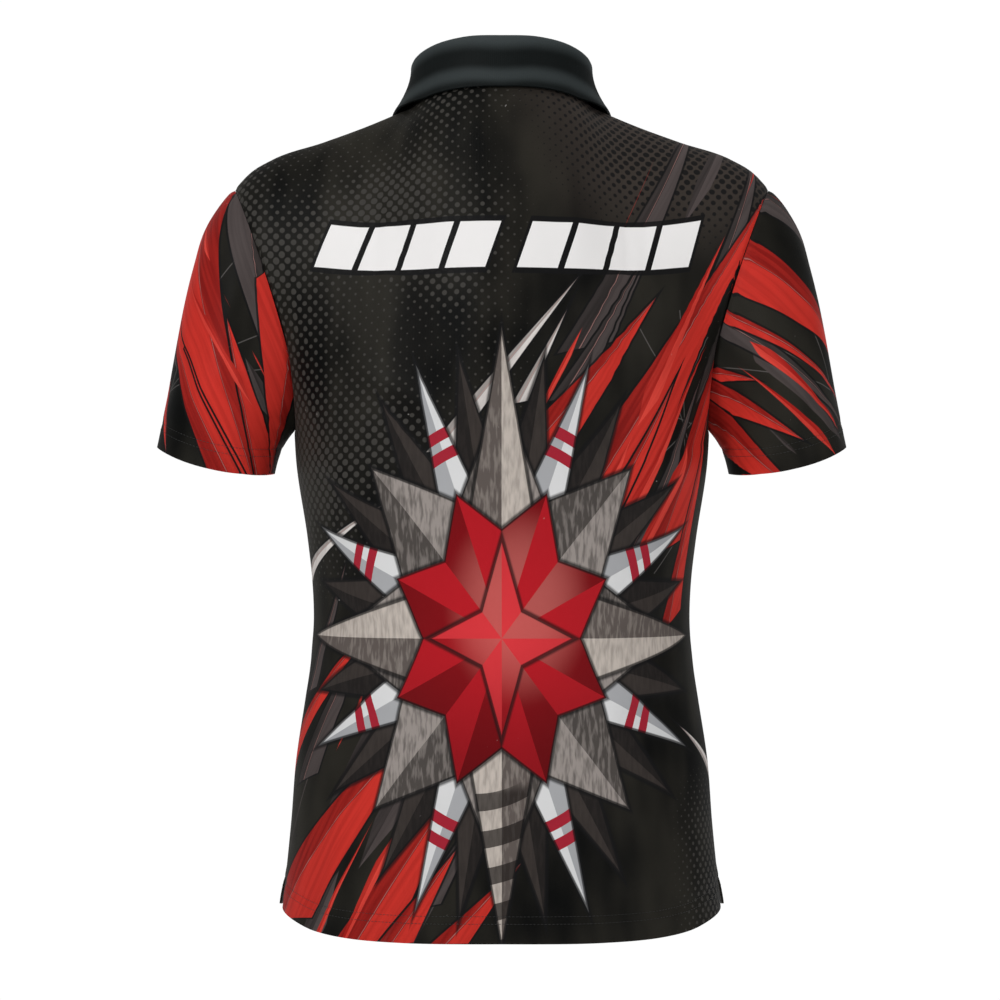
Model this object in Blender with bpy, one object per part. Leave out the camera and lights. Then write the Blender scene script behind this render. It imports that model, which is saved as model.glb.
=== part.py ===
"""A short-sleeved bowling shirt with a fold-over collar, filled out as when worn, with nobody in it.

Metres, +Z up. The front faces -Y and the back +Y, so +X is the wearer's left. The origin is midway
between the two neck ends of the shoulder seams, where the shirt is carried.

Every cloth piece is one closed wall: a grid of outer points, and the same grid moved in by the
cloth's thickness. Each grid comes from fibres, curves that run up the panel from the hem, or along
the sleeve from the armhole, so that neighbouring pieces share the points of the seam between them.
"""

import math
from collections import namedtuple

import bmesh
import bpy
import numpy as np
from mathutils import Matrix, Vector
from mathutils.bvhtree import BVHTree
from mathutils.geometry import tessellate_polygon

# ---- cloth ----
CLOTH = 0.0012
HEM_CLOTH = 0.0022
COLLAR_CLOTH = 0.0016
SEAM_GAP = 0.0003

# ---- body, heights measured from the neck ends of the shoulder seams ----
UNDERARM_Z = -0.2785
LEVEL_DIP = 0.0300  # how far the row through the underarm sinks towards the middle of a panel
HEM_SIDE_Z = -0.6815
HEM_DEPTH = 0.0230
HEM_STEP = 0.0006
SECTION_ROUNDNESS = 2.25
VENT_HEIGHT = 0.0420
VENT_OPENING = 0.0055
VENT_FLARE = 0.0035

BodySection = namedtuple("BodySection", "height half_width back_depth front_depth")
BODY_SECTIONS = [
    BodySection(-0.7000, 0.1875, 0.1210, 0.1210),
    BodySection(-0.6610, 0.1835, 0.1195, 0.1200),
    BodySection(-0.6100, 0.1785, 0.1175, 0.1205),
    BodySection(-0.5590, 0.1745, 0.1150, 0.1220),
    BodySection(-0.5080, 0.1668, 0.1130, 0.1240),
    BodySection(-0.4700, 0.1612, 0.1125, 0.1265),
    BodySection(-0.4400, 0.1594, 0.1140, 0.1290),
    BodySection(-0.4060, 0.1607, 0.1170, 0.1315),
    BodySection(-0.3720, 0.1645, 0.1210, 0.1335),
    BodySection(-0.3040, 0.1743, 0.1270, 0.1360),
    BodySection(-0.2785, 0.1757, 0.1280, 0.1360),
    BodySection(-0.2500, 0.1765, 0.1285, 0.1355),
]

# The hem's dip below its ends at the side seams; across is 0 at the middle of a panel.
HemPoint = namedtuple("HemPoint", "across back_dip front_dip")
HEM_POINTS = [
    HemPoint(0.00, 0.0155, 0.0100),
    HemPoint(0.25, 0.0158, 0.0100),
    HemPoint(0.45, 0.0146, 0.0092),
    HemPoint(0.60, 0.0115, 0.0075),
    HemPoint(0.75, 0.0060, 0.0042),
    HemPoint(0.87, 0.0026, 0.0018),
    HemPoint(1.00, 0.0000, 0.0000),
]

# ---- neck seam, an ellipse in plan that dips at the front ----
NECK_HALF_WIDTH = 0.0740
NECK_BACK_Y = 0.0600
NECK_FRONT_Y = 0.0740
NECK_SIDE_Z = -0.0030
NECK_BACK_RISE = 0.0150
NECK_FRONT_DROP = 0.0660

# ---- shoulder seam, along the ridge from the neck to the sleeve ----
ShoulderPoint = namedtuple("ShoulderPoint", "across height")
SHOULDER_RIDGE = [
    ShoulderPoint(0.0740, -0.0030),
    ShoulderPoint(0.0900, -0.0098),
    ShoulderPoint(0.1054, -0.0166),
    ShoulderPoint(0.1500, -0.0336),
    ShoulderPoint(0.1955, -0.0493),
    ShoulderPoint(0.2145, -0.0608),
    ShoulderPoint(0.2275, -0.0745),
]
SHOULDER_END = SHOULDER_RIDGE[-1]
NECK_SHARE = 0.38  # of a panel's half width at its top, the rest is shoulder
CORNER_BLEND = 0.16

# A fibre leaves the underarm row along "lift" and comes into the top edge along "arrive".
# One row for each place across the half panel: 0 is the centre and 1 the armhole.
Handle = namedtuple("Handle", "across lift_x lift_y lift_z arrive_x arrive_y arrive_z")
BACK_HANDLES = [
    Handle(0.00, 0.0000, 0.0060, 0.1300, 0.0000, 0.0430, -0.0640),
    Handle(0.38, 0.0010, 0.0045, 0.1200, 0.0300, 0.0520, -0.0290),
    Handle(0.69, 0.0030, 0.0140, 0.1000, 0.0090, 0.0670, -0.0135),
    Handle(0.88, -0.0010, 0.0360, 0.0620, -0.0010, 0.0740, -0.0088),
    Handle(1.00, -0.0230, 0.0640, 0.0180, -0.0100, 0.0770, -0.0080),
]
FRONT_HANDLES = [
    Handle(0.00, 0.0000, -0.0040, 0.0900, 0.0000, -0.0340, -0.0560),
    Handle(0.38, 0.0010, -0.0045, 0.1100, 0.0300, -0.0480, -0.0350),
    Handle(0.69, 0.0030, -0.0120, 0.0950, 0.0090, -0.0600, -0.0185),
    Handle(0.88, -0.0020, -0.0320, 0.0600, -0.0060, -0.0640, -0.0120),
    Handle(1.00, -0.0270, -0.0560, 0.0170, -0.0140, -0.0650, -0.0110),
]

# ---- sleeve ----
CUFF_CENTRE = (0.2430, -0.0030, -0.3045)
CUFF_HALF_WIDTH = 0.0508
CUFF_HALF_DEPTH = 0.0620
CUFF_SLOPE = math.radians(13.0)
CUFF_DIP = 0.0080
SLEEVE_HEM_DEPTH = 0.0220

# A sleeve fibre leaves the armhole along "leave" and comes to the cuff along "arrive".
# "around" runs 0 underarm, 0.25 back, 0.5 shoulder, 0.75 front.
SleeveHandle = namedtuple("SleeveHandle", "around leave_x leave_y leave_z arrive_x arrive_y arrive_z")
SLEEVE_HANDLES = [
    SleeveHandle(0.00, 0.0120, 0.0000, -0.0130, -0.0035, 0.0000, 0.0150),
    SleeveHandle(0.12, 0.0250, 0.0020, -0.0200, -0.0050, 0.0000, 0.0300),
    SleeveHandle(0.25, 0.0480, 0.0140, -0.0420, -0.0120, 0.0020, 0.0600),
    SleeveHandle(0.38, 0.0500, 0.0100, -0.0480, -0.0150, 0.0030, 0.0800),
    SleeveHandle(0.50, 0.0400, 0.0000, -0.0340, -0.0210, 0.0000, 0.0950),
    SleeveHandle(0.62, 0.0480, -0.0080, -0.0480, -0.0150, -0.0030, 0.0800),
    SleeveHandle(0.75, 0.0440, -0.0120, -0.0420, -0.0120, -0.0020, 0.0600),
    SleeveHandle(0.88, 0.0240, -0.0020, -0.0200, -0.0050, 0.0000, 0.0300),
    SleeveHandle(1.00, 0.0120, 0.0000, -0.0130, -0.0035, 0.0000, 0.0150),
]

# ---- collar: one row for each place round the neck, 0 at the back and 180 at the front ----
# rise: fold above the neck seam. The edge is the fall's free edge; "lies" is 1 where it lies on the
# panel and takes its edge_y from there, and 0 where it stands free.
CollarStation = namedtuple("CollarStation", "angle rise edge_x edge_y edge_z lies")
COLLAR_STATIONS = [
    CollarStation(0.0, 0.0352, 0.0000, 0.0680, 0.0034, 0.0),
    CollarStation(25.0, 0.0374, 0.0335, 0.0612, 0.0024, 0.0),
    CollarStation(50.0, 0.0390, 0.0635, 0.0420, -0.0023, 0.0),
    CollarStation(70.0, 0.0378, 0.0805, 0.0235, -0.0052, 0.0),
    CollarStation(90.0, 0.0345, 0.0910, -0.0010, -0.0088, 0.0),
    CollarStation(105.0, 0.0365, 0.0950, -0.0240, -0.0175, 1.0),
    CollarStation(120.0, 0.0385, 0.0950, -0.0450, -0.0300, 1.0),
    CollarStation(150.0, 0.0350, 0.0790, -0.0800, -0.0700, 1.0),
    CollarStation(180.0, 0.0290, 0.0440, -0.1050, -0.1180, 1.0),
]
COLLAR_LEAN = 0.0028
COLLAR_ROLL = 0.0030
COLLAR_CLEARANCE = 0.0022
COLLAR_END_X = 0.0012

# ---- placket ----
PLACKET_HALF_WIDTH = 0.0165
SLOT_HALF_WIDTH = 0.0140
PLACKET_LENGTH = 0.1500
PLACKET_CLOTH = 0.0014
PLACKET_OVERLAP = 0.0080
PLACKET_HEAD_GAP = 0.0010
BUTTON_RADIUS = 0.0055
BUTTON_THICKNESS = 0.0024
BUTTON_HOLE_RADIUS = 0.0009
BUTTON_HOLE_SPREAD = 0.0014
BUTTON_LIFT = 0.0006
BUTTON_DROPS = (0.0200, 0.0700, 0.1200)

# ---- the largest folds, soft ridges (+) and troughs (-) on the outer face ----
# They run from the first point to the second; x and height are where they lie on the panel.
Fold = namedtuple("Fold", "x0 z0 x1 z1 width depth")
BACK_FOLDS = [
    Fold(0.020, -0.150, 0.012, -0.400, 0.026, 0.0028),
    Fold(0.078, -0.130, 0.066, -0.330, 0.022, -0.0026),
    Fold(-0.030, -0.200, -0.044, -0.420, 0.024, -0.0020),
    Fold(-0.112, -0.170, -0.090, -0.340, 0.020, -0.0028),
    Fold(0.140, -0.250, 0.098, -0.420, 0.022, 0.0026),
    Fold(-0.140, -0.270, -0.110, -0.430, 0.020, 0.0024),
    Fold(0.150, -0.455, 0.080, -0.520, 0.018, 0.0030),
    Fold(-0.150, -0.465, -0.070, -0.540, 0.018, 0.0028),
    Fold(0.060, -0.520, 0.088, -0.680, 0.026, 0.0026),
    Fold(-0.050, -0.560, -0.078, -0.690, 0.028, 0.0022),
]
FRONT_FOLDS = [
    Fold(0.100, -0.200, 0.080, -0.420, 0.024, 0.0026),
    Fold(-0.100, -0.200, -0.076, -0.420, 0.024, 0.0026),
    Fold(0.145, -0.440, 0.070, -0.520, 0.020, 0.0030),
    Fold(-0.145, -0.440, -0.070, -0.530, 0.020, 0.0030),
    Fold(0.050, -0.520, 0.070, -0.690, 0.028, 0.0024),
    Fold(-0.060, -0.540, -0.082, -0.690, 0.028, 0.0024),
]
SLEEVE_FOLDS = [
    Fold(0.218, -0.140, 0.236, -0.262, 0.013, 0.0022),
    Fold(0.246, -0.135, 0.262, -0.255, 0.012, -0.0020),
]

# ---- grid ----
NECK_COLUMNS = 8
SHOULDER_COLUMNS = 6
LOWER_ROWS = 15
UPPER_ROWS = 13
SLEEVE_ROWS = 11
STAND_STEPS = 2
ROLL_STEPS = 5
FALL_STEPS = 6
BUTTON_SIDES = 20
HOLE_SIDES = 8

BACK, FRONT = 1, -1


def smooth(places, values, at):
    """A cubic through the values, with the slope at each place taken from its neighbours."""
    places, values = np.asarray(places, float), np.asarray(values, float)
    slopes = np.gradient(values, places, axis=0)
    at = float(np.clip(at, places[0], places[-1]))
    i = int(np.clip(np.searchsorted(places, at) - 1, 0, len(places) - 2))
    span = places[i + 1] - places[i]
    u = (at - places[i]) / span
    start, end = values[i], values[i + 1]
    return (
        (2 * u**3 - 3 * u**2 + 1) * start
        + (u**3 - 2 * u**2 + u) * span * slopes[i]
        + (3 * u**2 - 2 * u**3) * end
        + (u**3 - u**2) * span * slopes[i + 1]
    )


def table_at(table, at):
    """A table's row, without its first column, at a place between its rows."""
    rows = np.array(table, float)
    return smooth(rows[:, 0], rows[:, 1:], at)


def bezier(start, leave, arrive, end, u):
    return (
        (1 - u) ** 3 * start
        + 3 * (1 - u) ** 2 * u * leave
        + 3 * (1 - u) * u**2 * arrive
        + u**3 * end
    )


def power(value, exponent):
    """A power that keeps the sign."""
    return math.copysign(abs(value) ** exponent, value)


def unit(vectors):
    return vectors / np.maximum(np.linalg.norm(vectors, axis=-1, keepdims=True), 1e-12)


def ease(value):
    """0 below 0, 1 above 1, and smooth between."""
    u = min(1.0, max(0.0, value))
    return u * u * (3 - 2 * u)


def neck_point(angle):
    """The neck seam at an angle in degrees from the back centre, towards +X."""
    along, across = math.cos(math.radians(angle)), math.sin(math.radians(angle))
    if along >= 0:
        return np.array(
            [NECK_HALF_WIDTH * across, NECK_BACK_Y * along, NECK_SIDE_Z + NECK_BACK_RISE * along**2]
        )
    return np.array(
        [NECK_HALF_WIDTH * across, NECK_FRONT_Y * along, NECK_SIDE_Z - NECK_FRONT_DROP * abs(along) ** 1.4]
    )


def shoulder_point(share, side):
    """The shoulder seam, from the neck at 0 to the sleeve at 1."""
    across = NECK_HALF_WIDTH + share * (SHOULDER_END.across - NECK_HALF_WIDTH)
    return np.array([across, side * SEAM_GAP / 2, float(table_at(SHOULDER_RIDGE, across)[0])])


def ring_point(height, across, side):
    """The body's section at a height; across is 0 at the centre and 1 at the side seam."""
    half_width, back_depth, front_depth = table_at(BODY_SECTIONS, height)
    depth = back_depth if side == BACK else front_depth
    angle = abs(across) * math.pi / 2
    x = half_width * math.sin(angle) ** (2 / SECTION_ROUNDNESS)
    y = depth * max(0.0, math.cos(angle)) ** (2 / SECTION_ROUNDNESS)
    return np.array([x, side * max(y, SEAM_GAP / 2), height])


def hem_height(across, side):
    back_dip, front_dip = table_at(HEM_POINTS, abs(across))
    return HEM_SIDE_Z - (back_dip if side == BACK else front_dip)


def level_height(across):
    """The height of the row through the underarm."""
    return UNDERARM_Z - LEVEL_DIP * (1 - abs(across) ** 4)


def lower_point(across, share, side):
    """A point between the hem, share 0, and the underarm row, share 1. The vents part near the hem."""
    height = hem_height(across, side) + share * (level_height(across) - hem_height(across, side))
    point = ring_point(height, across, side)
    vent = ease((HEM_SIDE_Z + VENT_HEIGHT - height) / VENT_HEIGHT) * abs(across) ** 10
    point[1] += side * vent * VENT_OPENING / 2
    if side == FRONT:
        point[0] += vent * VENT_FLARE
    return point


def upper_point(across, share, side):
    """A point above the underarm row. Neighbouring fibres are blended, except at the top, so that
    the corner between the neck and the shoulder seam runs out smoothly down the panel."""
    reach = CORNER_BLEND * ease((1 - share) / 0.35) * ease(across / 0.15) * ease((1 - across) / 0.25)
    if reach < 1e-6:
        return fibre_point(across, share, side)
    taps = ((-1.0, 1), (-0.5, 4), (0.0, 6), (0.5, 4), (1.0, 1))
    return sum(w * fibre_point(across + reach * t, share, side) for t, w in taps) / 16


def fibre_point(across, share, side):
    """A point on the fibre from the underarm row, share 0, to the shoulder or neck, share 1."""
    if across <= NECK_SHARE:
        quarter = 90.0 * across / NECK_SHARE
        end = neck_point(quarter if side == BACK else 180.0 - quarter)
    else:
        end = shoulder_point((across - NECK_SHARE) / (1 - NECK_SHARE), side)
    handles = table_at(BACK_HANDLES if side == BACK else FRONT_HANDLES, across)
    start = ring_point(level_height(across), across, side)
    return bezier(start, start + handles[:3], end + handles[3:], end, share)


def panel_point(across, up, side):
    """A point of the front or back. across runs -1 to 1; up is 0 at the hem, 1 at the underarm, 2 at the top."""
    half = abs(across)
    point = lower_point(half, up, side) if up <= 1 else upper_point(half, up - 1, side)
    point[0] = math.copysign(point[0], across)
    return point


def across_at(x, up, side):
    """The place across a panel where its half width is x."""
    low, high = 0.0, 0.5
    for _ in range(30):
        middle = (low + high) / 2
        if panel_point(middle, up, side)[0] < x:
            low = middle
        else:
            high = middle
    return (low + high) / 2


def grid_normals(grid, outward):
    """Unit normals of a grid of points, turned to agree with the outward hints."""
    normals = unit(np.cross(np.gradient(grid, axis=1), np.gradient(grid, axis=0)))
    flip = np.sign((normals * outward).sum(-1, keepdims=True))
    return normals * np.sign(np.median(flip))


def fold_height(point, folds):
    """How far the folds move a point of the cloth out."""
    total = 0.0
    for f in folds:
        along = np.array([f.x1 - f.x0, f.z1 - f.z0])
        offset = np.array([point[0] - f.x0, point[2] - f.z0])
        share = float(offset @ along / (along @ along))
        away = np.linalg.norm(offset - np.clip(share, 0, 1) * along)
        fade = ease(0.5 + 2 * share) * ease(0.5 + 2 * (1 - share))
        total += f.depth * fade * math.exp(-((away / f.width) ** 2))
    return total


def fold_room(grid, edge_steps):
    """A weight for each grid point: 0 on the borders, 1 a few steps in."""
    rows, columns = grid.shape[:2]
    i, j = np.meshgrid(np.arange(rows), np.arange(columns), indexing="ij")
    steps = np.minimum.reduce([rows - 1 - i, j, columns - 1 - j]) / edge_steps
    return np.clip(steps, 0, 1)


def panel_ups(side):
    """The heights of a panel's rows, with two close ones where the turned hem ends."""
    length = UNDERARM_Z - HEM_SIDE_Z
    hem = HEM_DEPTH / length
    ups = [0.0, hem / 2, hem, hem + HEM_STEP / length]
    ups += list(np.linspace(hem, 1.0, LOWER_ROWS - 1)[1:])
    ups += [1 + (k + 1) / UPPER_ROWS for k in range(UPPER_ROWS)]
    return ups


def panel_columns():
    """Half of a panel's columns, from the centre out: evenly round the neck, then along the shoulder."""
    neck = [NECK_SHARE * k / NECK_COLUMNS for k in range(NECK_COLUMNS + 1)]
    shoulder = [NECK_SHARE + (1 - NECK_SHARE) * (k + 1) / SHOULDER_COLUMNS for k in range(SHOULDER_COLUMNS)]
    return neck + shoulder


def panel_grid(side):
    """The outer points of the front or back, rows from the hem up and columns from -X to +X."""
    half = panel_columns()
    rows = []
    for up in panel_ups(side):
        places = list(half)
        if side == FRONT:
            places[1] = across_at(SLOT_HALF_WIDTH, up, side)
        row = [-a for a in reversed(places[1:])] + places
        rows.append([panel_point(a, up, side) for a in row])
    grid = np.array(rows)
    normals = grid_normals(grid, grid * [0.3, 1, 0])
    folds = BACK_FOLDS if side == BACK else FRONT_FOLDS
    heights = np.array([[fold_height(p, folds) for p in row] for row in grid])
    return grid + normals * (heights * fold_room(grid, 3))[..., None]


def armhole_loop(back, front):
    """The armhole on +X as a closed loop: up the back from the underarm, over, and down the front."""
    return np.concatenate([back[-UPPER_ROWS - 1 :, -1], front[-2 : -UPPER_ROWS - 1 : -1, -1]])


def cuff_point(around):
    turn = 2 * math.pi * around
    across = -power(math.cos(turn), 2 / SECTION_ROUNDNESS) * CUFF_HALF_WIDTH
    return np.array(
        [
            CUFF_CENTRE[0] + across * math.cos(CUFF_SLOPE),
            CUFF_CENTRE[1] + power(math.sin(turn), 2 / SECTION_ROUNDNESS) * CUFF_HALF_DEPTH,
            CUFF_CENTRE[2] + across * math.sin(CUFF_SLOPE) - CUFF_DIP * math.sin(turn) ** 2,
        ]
    )


def sleeve_shares(length):
    """How far along the sleeve its rings lie, with two close ones where the turned hem ends."""
    hem = 1 - SLEEVE_HEM_DEPTH / length
    shares = list(np.linspace(0, hem, SLEEVE_ROWS))
    return shares[:-1] + [hem - HEM_STEP / length, hem, (1 + hem) / 2, 1.0]


def sleeve_grid(loop):
    """The outer points of the sleeve on +X: a column for each fibre, a row for each ring."""
    shares = sleeve_shares(0.20)
    columns = []
    for k, start in enumerate(loop):
        around = k / len(loop)
        handles = table_at(SLEEVE_HANDLES, around)
        end = cuff_point(around)
        leave = start + handles[:3]
        start = start + unit(handles[:3]) * SEAM_GAP
        columns.append([bezier(start, leave, end + handles[3:], end, u) for u in shares])
    grid = np.array(columns).transpose(1, 0, 2)
    heights = np.array([[fold_height(p, SLEEVE_FOLDS) for p in ring] for ring in grid])
    ring = np.arange(len(grid))
    room = np.clip(np.minimum(ring, len(grid) - 1 - ring) / 3, 0, 1)
    return grid + tube_normals(grid) * (heights * room[:, None])[..., None]


def tube_normals(grid):
    """Outward unit normals of rings of points."""
    around = np.roll(grid, -1, axis=1) - np.roll(grid, 1, axis=1)
    normals = unit(np.cross(np.gradient(grid, axis=0), around))
    centre = grid.mean(axis=1, keepdims=True)
    return normals * np.sign(np.median(((grid - centre) * normals).sum(-1)))


def material(name, colour, roughness):
    made = bpy.data.materials.new(name)
    made.use_nodes = True
    shader = made.node_tree.nodes["Principled BSDF"]
    shader.inputs["Base Color"].default_value = (*colour, 1.0)
    shader.inputs["Roughness"].default_value = roughness
    made.diffuse_color = (*colour, 1.0)
    return made


def add_object(name, mesh, look):
    mesh.materials.append(look)
    mesh.shade_smooth()
    mesh.set_sharp_from_angle(angle=math.radians(50))
    made = bpy.data.objects.new(name, mesh)
    bpy.context.scene.collection.objects.link(made)
    return made


def sheet_triangles(rows, columns, ring, keep):
    """Triangles over a grid. The diagonals of its two halves mirror each other."""
    last = columns if ring else columns - 1
    for i in range(rows - 1):
        for j in range(last):
            if keep(i, j):
                a, b = i * columns + j, i * columns + (j + 1) % columns
                c, d = a + columns, b + columns
                yield from ((a, b, d), (a, d, c)) if 2 * j >= last else ((a, b, c), (b, d, c))


def wall(name, outer, inner, look, ring=False, keep=lambda i, j: True):
    """A closed wall between two grids. Its rim follows every open edge of the kept squares."""
    rows, columns = outer.shape[:2]
    count = rows * columns
    faces = list(sheet_triangles(rows, columns, ring, keep))
    points = np.concatenate([outer.reshape(-1, 3), inner.reshape(-1, 3)])
    a, b, c = (points[[f[k] for f in faces]] for k in range(3))
    out = (outer - inner).reshape(-1, 3)[[f[0] for f in faces]]
    if (np.cross(b - a, c - a) * out).sum() < 0:
        faces = [(x, z, y) for x, y, z in faces]
    edges = {(f[k], f[(k + 1) % 3]) for f in faces for k in range(3)}
    rim = [(x, y) for x, y in edges if (y, x) not in edges]
    solid = list(faces)
    solid += [(x + count, z + count, y + count) for x, y, z in faces]
    solid += [(y, x, x + count) for x, y in rim]
    solid += [(y, x + count, y + count) for x, y in rim]
    used = sorted({i for f in solid for i in f})
    number = {old: new for new, old in enumerate(used)}
    mesh = bpy.data.meshes.new(name)
    mesh.from_pydata(points[used].tolist(), [], [[number[i] for i in f] for f in solid])
    mesh.validate()
    return add_object(name, mesh, look)


def shared_directions(own, neighbour):
    """Where two pieces meet in a gentle angle both walls lean the same way, so their ends stay parallel."""
    agree = (own * neighbour).sum(-1, keepdims=True)
    share = np.clip((agree - 0.2) / 0.3, 0, 1)
    return unit(own + share * neighbour)


def panel_normals(grid, side):
    """A panel's outward normals. Along the side and shoulder seams they lie in the seam's plane."""
    normals = grid_normals(grid, grid * [0.3, 1, 0])
    lower = len(grid) - UPPER_ROWS
    seam = np.zeros(grid.shape[:2], bool)
    seam[:lower, [0, -1]] = True
    seam[-1, : SHOULDER_COLUMNS + 1] = True
    seam[-1, -SHOULDER_COLUMNS - 1 :] = True
    normals[seam, 1] = 0
    return unit(normals)


def panel_walls(back, front, sleeve, looks):
    """The front, back and both sleeves. Their walls lean together along the armholes."""
    mirror = np.array([-1, 1, 1])
    back_out, front_out = panel_normals(back, BACK), panel_normals(front, FRONT)
    tube = tube_normals(sleeve)
    top = UPPER_ROWS + 1
    loop = np.concatenate([back_out[-top:, -1], front_out[-2:-top:-1, -1]])
    shared = shared_directions(loop, tube[0])
    tube[0] = shared_directions(tube[0], loop)
    back_out[-top:, -1] = shared[:top]
    front_out[-top:, -1] = np.concatenate([shared[:1], shared[-1 : top - 2 : -1]])
    for out in (back_out, front_out):
        out[-top:, 0] = out[-top:, -1] * mirror
    for out in (back_out, front_out):
        out[-1, [0, -1], 1] = 0
        out[-1, [0, -1]] = unit(out[-1, [0, -1]])
    hem = HEM_DEPTH / (UNDERARM_Z - HEM_SIDE_Z)
    thickness = np.where(np.array(panel_ups(BACK)) <= hem + 1e-6, HEM_CLOTH, CLOTH)[:, None, None]
    centre, foot = front.shape[1] // 2, slot_row(front)

    def beside_slot(i, j):
        return j not in (centre - 1, centre) or i < foot

    wall("back", back, back - back_out * thickness, looks["cloth"])
    wall("front", front, front - front_out * thickness, looks["cloth"], keep=beside_slot)
    along = np.full((len(sleeve), 1, 1), CLOTH)
    along[-3:] = HEM_CLOTH
    inner = sleeve - tube * along
    wall("sleeve_left", sleeve, inner, looks["cloth"], ring=True)
    wall("sleeve_right", sleeve * mirror, inner * mirror, looks["cloth"], ring=True)
    return front_out


def slot_row(front):
    """The row of the front where the placket slot ends."""
    foot = neck_point(180.0)[2] - PLACKET_LENGTH + PLACKET_OVERLAP
    return int(np.searchsorted(front[:, front.shape[1] // 2, 2], foot))


def placket_grid(front, front_out):
    """Points of the front that the placket strips lie on, and the front's outward directions there."""
    centre = front.shape[1] // 2
    top, foot = neck_point(180.0)[2] - PLACKET_HEAD_GAP, neck_point(180.0)[2] - PLACKET_LENGTH
    grids = []
    for source in (front, front_out):
        rows = []
        for height in [foot, *front[slot_row(front) : -1, centre, 2], top]:
            i = int(np.searchsorted(front[:, centre, 2], height)) - 1
            share = (height - front[i, centre, 2]) / (front[i + 1, centre, 2] - front[i, centre, 2])
            row = (1 - share) * source[i] + share * source[i + 1]
            at = (1 - share) * front[i] + share * front[i + 1]
            slot, beyond = at[centre + 1, 0], at[centre + 2, 0]
            edge = (PLACKET_HALF_WIDTH - slot) / (beyond - slot)
            left = (1 - edge) * row[centre + 1] + edge * row[centre + 2]
            right = (1 - edge) * row[centre - 1] + edge * row[centre - 2]
            rows.append([right, row[centre - 1], row[centre], row[centre + 1], left])
        grids.append(np.array(rows))
    return grids[0], unit(grids[1])


def polygon_solid(name, outline, holes, rim, looks):
    """A disc with holes through it. "rim" lists its levels as (height, shrink of the outline)."""
    loops = [[Vector((x, y, 0)) for x, y in ring] for ring in [outline, *holes]]
    face = tessellate_polygon(loops)
    flat = [tuple(v) for ring in loops for v in ring]
    count = len(flat)
    levels = [
        [(x * (1 - shrink * (k < len(outline))), y * (1 - shrink * (k < len(outline))), height)
         for k, (x, y, _) in enumerate(flat)]
        for height, shrink in rim
    ]
    mesh = bmesh.new()
    made = [[mesh.verts.new(p) for p in level] for level in levels]
    for a, b, c in face:
        mesh.faces.new((made[0][a], made[0][b], made[0][c]))
        mesh.faces.new((made[-1][c], made[-1][b], made[-1][a]))
    starts, start = [], 0
    for ring in loops:
        starts.append((start, len(ring)))
        start += len(ring)
    for low, high in zip(made, made[1:]):
        for start, size in starts:
            for k in range(size):
                i, j = start + k, start + (k + 1) % size
                mesh.faces.new((low[i], low[j], high[j], high[i]))
    bmesh.ops.recalc_face_normals(mesh, faces=mesh.faces)
    data = bpy.data.meshes.new(name)
    mesh.to_mesh(data)
    mesh.free()
    return add_object(name, data, looks["button"])


def circle(x, y, radius, sides):
    turns = [2 * math.pi * (k + 0.5) / sides for k in range(sides)]
    return [(x + radius * math.cos(t), y + radius * math.sin(t)) for t in turns]


def line_at(line, height):
    """The point of a rising line of points at a height."""
    return np.array([np.interp(height, line[:, 2], line[:, k]) for k in range(3)])


def buttons(strip, looks):
    """Four-hole buttons on the placket, each square to the strip under it."""
    half, spread, middle = BUTTON_THICKNESS / 2, BUTTON_HOLE_SPREAD, strip.shape[1] // 2
    holes = [
        circle(x, y, BUTTON_HOLE_RADIUS, HOLE_SIDES)
        for x, y in ((spread, spread), (-spread, spread), (-spread, -spread), (spread, -spread))
    ]
    rim = [(-half, 0.10), (-half * 0.5, 0.0), (half * 0.5, 0.0), (half, 0.10)]
    for k, drop in enumerate(BUTTON_DROPS):
        height = neck_point(180.0)[2] - drop
        low, high = (line_at(strip[:, middle], height + way * BUTTON_RADIUS) for way in (-1, 1))
        along = unit(high - low)
        normal = unit(np.cross([1.0, 0, 0], along))
        seat = (low + high) / 2 + normal * (half + BUTTON_LIFT)
        made = polygon_solid(f"button_{k + 1}", circle(0, 0, BUTTON_RADIUS, BUTTON_SIDES), holes, rim, looks)
        turn = Matrix([[1, along[0], normal[0]], [0, along[1], normal[1]], [0, along[2], normal[2]]])
        made.data.transform(Matrix.Translation(Vector(seat)) @ turn.to_4x4())


def placket(front, front_out, looks):
    grid, out = placket_grid(front, front_out)
    near, far = SEAM_GAP, SEAM_GAP + PLACKET_CLOTH
    top = grid + out * far
    wall("placket_top", top, grid + out * near, looks["cloth"])
    wall("placket_under", grid - out * (CLOTH + near), grid - out * (CLOTH + far), looks["cloth"])
    buttons(top, looks)


def surface_tree(*grids):
    """The outer faces of grids, for measuring clearances."""
    points, faces = [], []
    for grid in grids:
        start = len(points)
        points += [tuple(p) for p in grid.reshape(-1, 3)]
        triangles = sheet_triangles(*grid.shape[:2], False, lambda i, j: True)
        faces += [tuple(start + k for k in f) for f in triangles]
    return BVHTree.FromPolygons(points, faces)


def plan_normal(angle):
    """The horizontal direction out of the neck seam."""
    ahead, behind = neck_point(angle + 1), neck_point(angle - 1)
    along = unit((ahead - behind) * [1, 1, 0])
    return np.array([-along[1], along[0], 0.0])


def cleared(point, tree, centre, margin):
    """A point moved out of the panels until it has the margin."""
    near, normal, _, _ = tree.find_nearest(Vector(point))
    out = np.array(normal) * math.copysign(1, normal.dot(near - Vector(centre)))
    gap = float((point - np.array(near)) @ out)
    return point + out * max(0.0, margin - gap)


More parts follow.
